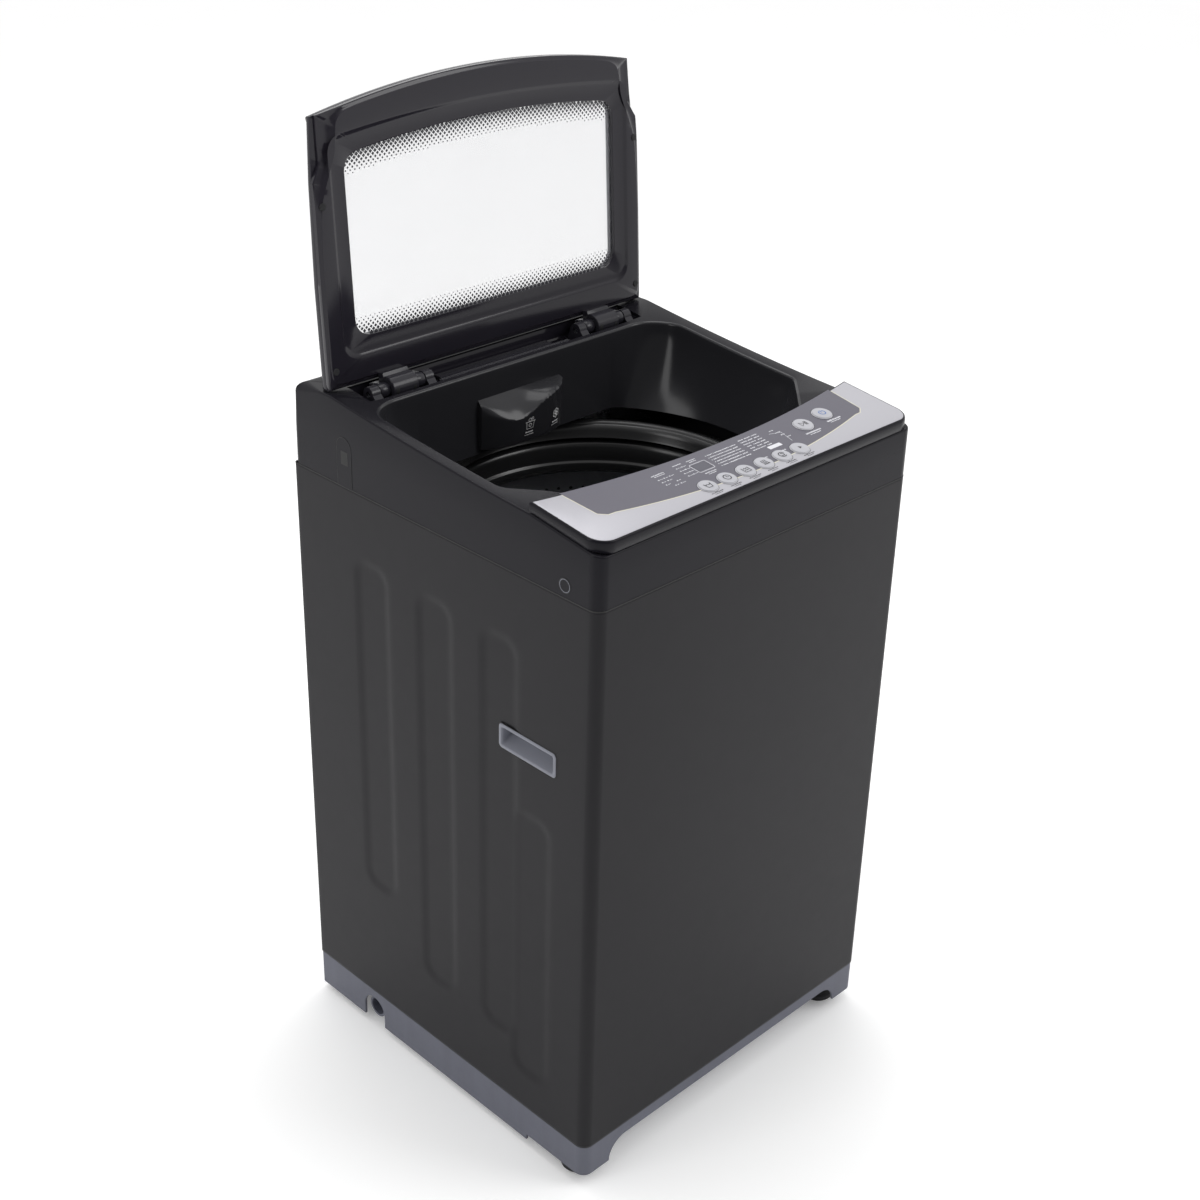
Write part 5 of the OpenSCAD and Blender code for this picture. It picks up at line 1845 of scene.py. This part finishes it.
    def knuckles(self, shop: Workshop) -> None:
        """Make the two hinge hoods with a sleeve on each side, and their slots, drawn as dark patches on the
        barrel: painted shade, not cut openings.

        Args:
            shop: the workshop that makes the pieces.
        """
        s = self.sizes
        body = Skin()
        slots = Skin()
        for side in (-1, 1):
            mid = side * s.knuckle_x
            wide, narrow = self.knuckle_w / 2, self.hood / 2
            for lo, hi, r in ((-wide, -narrow, self.sleeve), (-narrow, narrow, self.barrel),
                              (narrow, wide, self.sleeve)):
                arc = [(r * math.cos(a), r * math.sin(a))
                       for a in np.linspace(math.radians(68), math.radians(292), 26)]
                if r == self.barrel:
                    profile = [(16.5, 15.5), (7.5, 17.2)] + arc + [(14.2, -7.0)]
                else:
                    profile = [(16.0, 6.0)] + arc + [(14.2, -6.0)]
                rows = []
                for x, pull in ((lo, 0.8), (lo + 0.8, 0.0), (hi - 0.8, 0.0), (hi, 0.8)):
                    shrink = 1 - pull / 14
                    rows.append(body.ring([(mid + x, s.hinge_y + y * shrink, s.hinge_z + z * shrink)
                                           for y, z in profile]))
                body.loft(rows)
                body.cap(rows[0])
                body.cap(rows[-1])
            ends = (mid - self.hood / 2, mid + self.hood / 2)
            # painted shade: each slot is a dark patch laid just outside the barrel, not an opening
            for lo, hi, a0, a1 in ((ends[0] + 3, ends[0] + 8, 165, 215),
                                   (ends[1] - 8, ends[1] - 4, 172, 196)):
                reach = self.barrel + 0.1
                rows = [slots.ring([(x, s.hinge_y + reach * math.cos(math.radians(a)),
                                     s.hinge_z + reach * math.sin(math.radians(a)))
                                    for a in np.linspace(a0, a1, 12)]) for x in (lo, hi)]
                slots.loft(rows, False)
        shop.piece("hinge_knuckles", body, [Look.FRAME], "lid", sharp=40)
        shop.piece("knuckle_slot_shade", slots, [Look.DARK], "lid")


# ---------------------------------------------------------------- dispenser


@dataclass
class Dispenser:
    """The drawer's moulded front with its scooped top and printed marks."""

    half: float = 67.0
    low: float = 787.0
    high: float = 850.0
    wall_y: float = 146.0
    tray_half: float = 62.0
    tray_split: float = 15.4
    tray_long: float = 79.0

    def face(self, u: float, v: float) -> Solid:
        """Point of the front for a share across and a share up.

        Args:
            u: share across, from the left.
            v: share up.

        Returns:
            The point.
        """
        x = self.half * (2 * u - 1)
        side = abs(2 * u - 1)
        edge = 0.84 + 0.1 * u - 0.3 * math.exp(-((u - 0.32) / 0.27) ** 2)
        crown = 7 + 23 * (1 - side ** 3.2)
        if v < edge:
            y = self.wall_y - crown * (0.72 + 0.28 * (v / edge) ** 0.6)
        else:
            t = (v - edge) / (1 - edge)
            y = self.wall_y - crown * (1 - t) - 2.5 * math.sin(math.pi * t)
        return (x, y, self.low + (self.high - self.low) * v)

    def build(self, shop: Workshop) -> None:
        """Make the front and its marks.

        Args:
            shop: the workshop that makes the pieces.
        """
        skin = Skin()
        rows = []
        for j in range(41):
            v = j / 40
            row = [self.face(i / 48, v) for i in range(49)]
            (left, _, z), (right, _, _) = row[0], row[-1]
            rows.append(skin.ring([(left, self.wall_y + 1, z), *row, (right, self.wall_y + 1, z)]))
        skin.loft(rows, False)
        skin.cap(rows[0][::-1])
        shop.piece("drawer_front", skin, [Look.FUNNEL], "drawer", ["detergent_drawer"],
                   sharp=28)
        self.tray(shop)
        marks = Print(self.lifted)
        for x, draw in ((-7.0, self.basin), (41.0, self.flower)):
            draw(marks, x, 812.5, 6.4)
            marks.label(x, 801.5, 13, 4, 1.5)
            marks.label(x, 797.8, 15, 2, 0.8)
        shop.piece("drawer_marks", marks.skin, [Look.INK_WHITE], "drawer")

    def tray(self, shop: Workshop) -> None:
        """Make the tray behind the front, with its two wells.

        Args:
            shop: the workshop that makes the pieces.
        """
        skin = Skin()
        floor, rim, rear = self.low + 9, self.high - 10, self.wall_y + self.tray_long
        for x0, x1, left, right in ((-self.tray_half, self.tray_split, 2.0, 1.0),
                                    (self.tray_split, self.tray_half, 1.0, 2.0)):
            def ring(grow: float, z: float) -> list[int]:
                """One level of the well, drawn in from its outer wall.

                Args:
                    grow: share of the wall's thickness.
                    z: the level.

                Returns:
                    The numbers of its points.
                """
                a, b = x0 + grow * left, x1 - grow * right
                return skin.ring([(a, self.wall_y + 2 * grow, z), (b, self.wall_y + 2 * grow, z),
                                  (b, rear - 2 * grow, z), (a, rear - 2 * grow, z)])
            rows = [ring(0, floor), ring(0, rim - 0.4), ring(0.2, rim), ring(0.8, rim), ring(1, rim - 0.4),
                    ring(1, floor + 2)]
            skin.loft(rows)
            skin.cap(rows[0][::-1])
            skin.cap(rows[-1])
        shop.piece("drawer_tray", skin, [Look.FUNNEL], "drawer", sharp=28)

    def lifted(self, x: float, z: float) -> Solid:
        """Point just in front of the drawer's face."""
        p = self.face((x / self.half + 1) / 2, (z - self.low) / (self.high - self.low))
        return (p[0], p[1] - 0.5, p[2])

    def basin(self, p: Print, x: float, z: float, r: float) -> None:
        """Draw a washing basin with bubbles.

        Args:
            p: the print that takes the mark.
            x: its middle across.
            z: its height.
            r: half its width.
        """
        p.line([(x - r, z + r * 0.5), (x - r * 0.8, z - r), (x + r * 0.8, z - r), (x + r, z + r * 0.5)], 0.6)
        p.line([(x - r * 1.3, z + r * 0.5), (x + r * 1.3, z + r * 0.5)], 0.6)
        p.ring(x - r * 0.2, z + r * 0.9, r * 0.35, 0.6)
        p.ring(x + r * 0.5, z + r * 1.1, r * 0.25, 0.6)
        p.ring(x, z - r * 0.25, r * 0.35, 0.6)

    def flower(self, p: Print, x: float, z: float, r: float) -> None:
        """Draw a six-petalled flower.

        Args:
            p: the print that takes the mark.
            x: its middle across.
            z: its height.
            r: half its width.
        """
        for k in range(6):
            a = math.radians(60 * k + 30)
            p.ring(x + r * 0.62 * math.cos(a), z + r * 0.62 * math.sin(a), r * 0.34, 0.75)
        p.ring(x, z, r * 0.22, 0.6)


# ---------------------------------------------------------------- suspension


@dataclass
class Suspension:
    """The four coil springs on the suspension rods."""

    wire: float = 1.5
    outer: float = 12.0
    turns: float = 9.0
    steps: int = 24
    sides: int = 8
    travel: float = 12.0

    def coil(self, skin: Skin, x: float, y: float, low: float, high: float) -> None:
        """Add one spring with a flat closed turn at each end.

        Args:
            skin: the skin that it is added to.
            x: the rod's place across.
            y: the rod's place along.
            low: level of the spring's seat.
            high: level of its top.
        """
        reach = self.outer - self.wire
        count = int(self.turns * self.steps)
        rows = []
        for k in range(count + 1):
            turn = self.turns * k / count
            climb = min(1.0, max(0.0, (turn - 1.0) / (self.turns - 2.0)))
            closing = 2.2 * self.wire * (min(1.0, turn) - 1 + max(0.0, turn - self.turns + 1.0))
            level = low + 3.2 * self.wire + (high - low - 6.4 * self.wire) * climb + closing
            a = 2 * math.pi * turn
            row = []
            for b in np.linspace(0, 2 * math.pi, self.sides, endpoint=False):
                r = reach + self.wire * math.cos(b)
                row.append((x + r * math.cos(a), y + r * math.sin(a), level + self.wire * math.sin(b)))
            rows.append(skin.ring(row))
        skin.loft(rows)
        skin.cap(rows[0][::-1])
        skin.cap(rows[-1])

    def build(self, shop: Workshop) -> None:
        """Make the springs.

        Args:
            shop: the workshop that makes the pieces.
        """
        low, high = ([c / MM for c in corner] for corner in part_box("suspension_springs"))
        skin = Skin()
        for sx in (-1, 1):
            for sy in (-1, 1):
                self.coil(skin, sx * (high[0] - self.outer), sy * (high[1] - self.outer), low[2], high[2])
        springs = shop.piece("spring_coils", skin, [Look.STEEL], "cabinet", ["suspension_springs"])
        low[2] * MM
        1 - self.travel / (high[2] - low[2])
        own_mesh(springs)


# ---------------------------------------------------------------- tub and basket


@dataclass
class Drum:
    """The ring over the tub, the balance ring and the basket wall."""

    cover: tuple[Flat, ...] = (
        (236.0, 742.0), (236.0, 754.0), (235.0, 756.5), (232.0, 757.6), (226.0, 758.6), (217.0, 761.6),
        (211.5, 764.6), (208.0, 767.0), (204.5, 768.0), (201.5, 767.8), (199.2, 766.4), (197.4, 763.4),
        (195.6, 758.0), (194.4, 753.0), (193.0, 749.2), (190.6, 748.2), (190.2, 748.6), (191.4, 751.0),
        (193.4, 757.4), (196.0, 763.6), (201.0, 765.6), (206.0, 764.6), (211.0, 761.0), (226.0, 754.2),
        (233.6, 754.0), (233.6, 742.0))
    balance: tuple[Flat, ...] = (
        (216.0, 701.0), (216.0, 738.0), (211.0, 742.0), (199.0, 742.0), (195.6, 741.2), (193.0, 738.6),
        (191.2, 734.0), (190.2, 728.0), (190.0, 722.0), (190.6, 717.4), (190.2, 716.0), (187.6, 714.8),
        (187.0, 713.2), (187.2, 709.0), (188.6, 703.6), (190.8, 700.6), (198.0, 700.0), (212.0, 700.0))
    wall: tuple[Flat, ...] = (
        (213.0, 298.0), (213.0, 330.0), (213.0, 520.0), (213.0, 700.0), (211.5, 700.0), (211.5, 520.0),
        (211.5, 330.0), (211.5, 298.0))

    def lathe(self, profile: Sequence[Flat], sides: int) -> Skin:
        """Turn a closed profile round the upright axis.

        Args:
            profile: radius and height of each point.
            sides: segments round the axis.

        Returns:
            The closed skin.
        """
        skin = Skin()
        rows = []
        for k in range(sides):
            a = 2 * math.pi * k / sides
            rows.append(skin.ring([(r * math.cos(a), r * math.sin(a), z) for r, z in profile]))
        skin.loft(rows + rows[:1])
        return skin

    def build(self, shop: Workshop) -> None:
        """Make the turned pieces.

        Args:
            shop: the workshop that makes the pieces.
        """
        cover, balance, wall = (self.lathe(self.cover, 200), self.lathe(self.balance, 200),
                                self.lathe(self.wall, 160))
        shop.piece("tub_ring", cover, [Look.RING], "tub", ["tub_cover"], sharp=50)
        shop.piece("balance_ring_shell", balance, [Look.RING], "basket", ["balance_ring"],
                   sharp=50)
        shop.piece("drum_wall", wall, [Look.DRUM], "basket", ["spin_basket"], sharp=50)


# ---------------------------------------------------------------- studio


@dataclass(frozen=True)
class Studio:
    """Floor, light and the camera's place."""

    azimuth: float = -45.461
    elevation: float = 26.615
    roll: float = 1.569
    eye: Solid = (-1.4279, -1.4077, 1.6841)
    lens: float = 55.26
    shift: Flat = (-0.0009, -0.0405)
    bright_way: Solid = (0.62, 0.62, 0.48)
    fade: Flat = (-0.45, 0.25)
    dim: float = 0.16
    floor_glow: float = 0.17

    def camera(self) -> None:
        """Place the camera."""
        a, e, turn = (math.radians(v) for v in (self.azimuth, self.elevation, self.roll))
        back = Vector((math.sin(a) * math.cos(e), -math.cos(a) * math.cos(e), math.sin(e)))
        across = Vector((0, 0, 1)).cross(back).normalized()
        above = back.cross(across)
        right = math.cos(turn) * across + math.sin(turn) * above
        up = -math.sin(turn) * across + math.cos(turn) * above
        data = bpy.data.cameras.new("camera")
        data.lens = self.lens
        data.sensor_width = 36.0
        data.shift_x, data.shift_y = self.shift
        data.clip_end = 50.0
        camera = bpy.data.objects.new("camera", data)
        bpy.context.scene.collection.objects.link(camera)
        camera.matrix_world = Matrix((
            (right.x, up.x, back.x, self.eye[0]), (right.y, up.y, back.y, self.eye[1]),
            (right.z, up.z, back.z, self.eye[2]), (0, 0, 0, 1)))
        bpy.context.scene.camera = camera

    def lamp(self, name: str, place: Solid, aim: Solid, size: Flat, power: float) -> None:
        """Add one soft box.

        Args:
            name: the lamp's name.
            place: where it hangs.
            aim: the point it faces.
            size: width and height in metres.
            power: watts.
        """
        data = bpy.data.lights.new(name, "AREA")
        data.shape = "RECTANGLE"
        data.size, data.size_y = size
        data.energy = power
        lamp = bpy.data.objects.new(name, data)
        bpy.context.scene.collection.objects.link(lamp)
        lamp.location = place
        lamp.rotation_euler = (Vector(aim) - Vector(place)).to_track_quat("-Z", "Y").to_euler()

    def floor(self) -> None:
        """Lay the pale floor."""
        g = Graph("pale_floor")
        tone = g.mix(g.noise(3.0, 2.0), shade("fdfdfd"), shade("ffffff"))
        material = g.surface({"Base Color": tone, "Roughness": 0.85 + 0.05 * g.noise(20.0),
                              "Emission Color": tone, "Emission Strength": self.floor_glow})
        mesh = bpy.data.meshes.new("floor")
        r = 14.0
        mesh.from_pydata([(-r, -r, 0), (r, -r, 0), (r, r, 0), (-r, r, 0)], [], [(0, 1, 2, 3)])
        mesh.materials.append(material)
        floor = bpy.data.objects.new("floor", mesh)
        bpy.context.scene.collection.objects.link(floor)

    def surround(self) -> None:
        """Light the room: white behind and above, dimmer on the near side."""
        world = bpy.data.worlds.new("studio")
        world.use_nodes = True
        tree = world.node_tree
        room = tree.nodes.new("ShaderNodeTexCoord")
        facing = tree.nodes.new("ShaderNodeVectorMath")
        facing.operation = "DOT_PRODUCT"
        facing.inputs[1].default_value = self.bright_way
        fade = tree.nodes.new("ShaderNodeMapRange")
        fade.interpolation_type = "SMOOTHSTEP"
        for socket, level in zip(fade.inputs[1:5], (self.fade[0], self.fade[1], self.dim, 1.0)):
            socket.default_value = level
        background = tree.nodes["Background"]
        background.inputs["Color"].default_value = (1.0, 1.0, 1.0, 1.0)
        tree.links.new(room.outputs["Generated"], facing.inputs[0])
        tree.links.new(facing.outputs["Value"], fade.inputs["Value"])
        tree.links.new(fade.outputs["Result"], background.inputs["Strength"])
        bpy.context.scene.world = world

    def build(self) -> None:
        """Set up the floor, the lights and the camera."""
        self.surround()
        bpy.context.scene.view_settings.view_transform = "Standard"
        self.floor()
        self.lamp("key_box", (1.6, -2.4, 2.9), (0, 0, 0.6), (1.6, 1.6), 30.0)
        self.lamp("side_box", (-2.8, 0.4, 1.9), (0, 0, 0.6), (1.0, 2.0), 16.0)
        self.lamp("top_box", (0.3, 0.7, 3.2), (0, 0, 0.8), (2.0, 2.0), 26.0)
        self.camera()


# ---------------------------------------------------------------- whole machine


PLAIN = {
    Look.ZINC: ["back_panel", "motor_bracket", "corner_brackets"],
    Look.BASE: ["base_frame", "drain_outlet"],
    Look.RUBBER: ["rear_feet", "foot_left", "foot_right", "shaft_seal", "drive_belt", "cord_gland"],
    Look.SKIRT: ["side_clips", "screw_caps"],
    Look.FRAME: ["hinge_brackets"],
    Look.RING: ["dispenser_housing", "drain_valve", "drain_hose", "lid_sensor"],
    Look.CAP: ["button_program", "button_water", "button_wash", "button_rinse", "button_spin", "button_delay",
               "button_start", "button_power"],
    Look.DISPLAY: ["display_window"],
    Look.BOARD: ["control_board"],
    Look.WHITE: ["inlet_valve", "run_capacitor"],
    Look.SENSOR: ["water_level_sensor"],
    Look.TUB: ["outer_tub", "basket_base"],
    Look.PULSATOR: ["pulsator_disc", "lint_filters"],
    Look.STEEL: ["hinge_pins", "spin_bearings", "spin_shaft", "pulsator_shaft", "suspension_rods",
                 "rear_screws"],
    Look.ALLOY: ["motor", "gearbox", "large_pulley", "motor_pulley"],
}


def main() -> None:
    """Load the frame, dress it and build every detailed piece."""
    logging.basicConfig(level=logging.INFO, format="%(name)s %(message)s")
    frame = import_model()
    shop = Workshop(frame, Palette())
    sizes = Sizes()
    Studio().build()
    shop.dress(PLAIN)
    for part in (Cabinet(sizes), TopFrame(sizes), ControlPanel(sizes), Lid(sizes), Dispenser(), Suspension(),
                 Drum()):
        part.build(shop)
        LOG.info("%s is done", type(part).__name__)


if __name__ == "__main__":
    main()
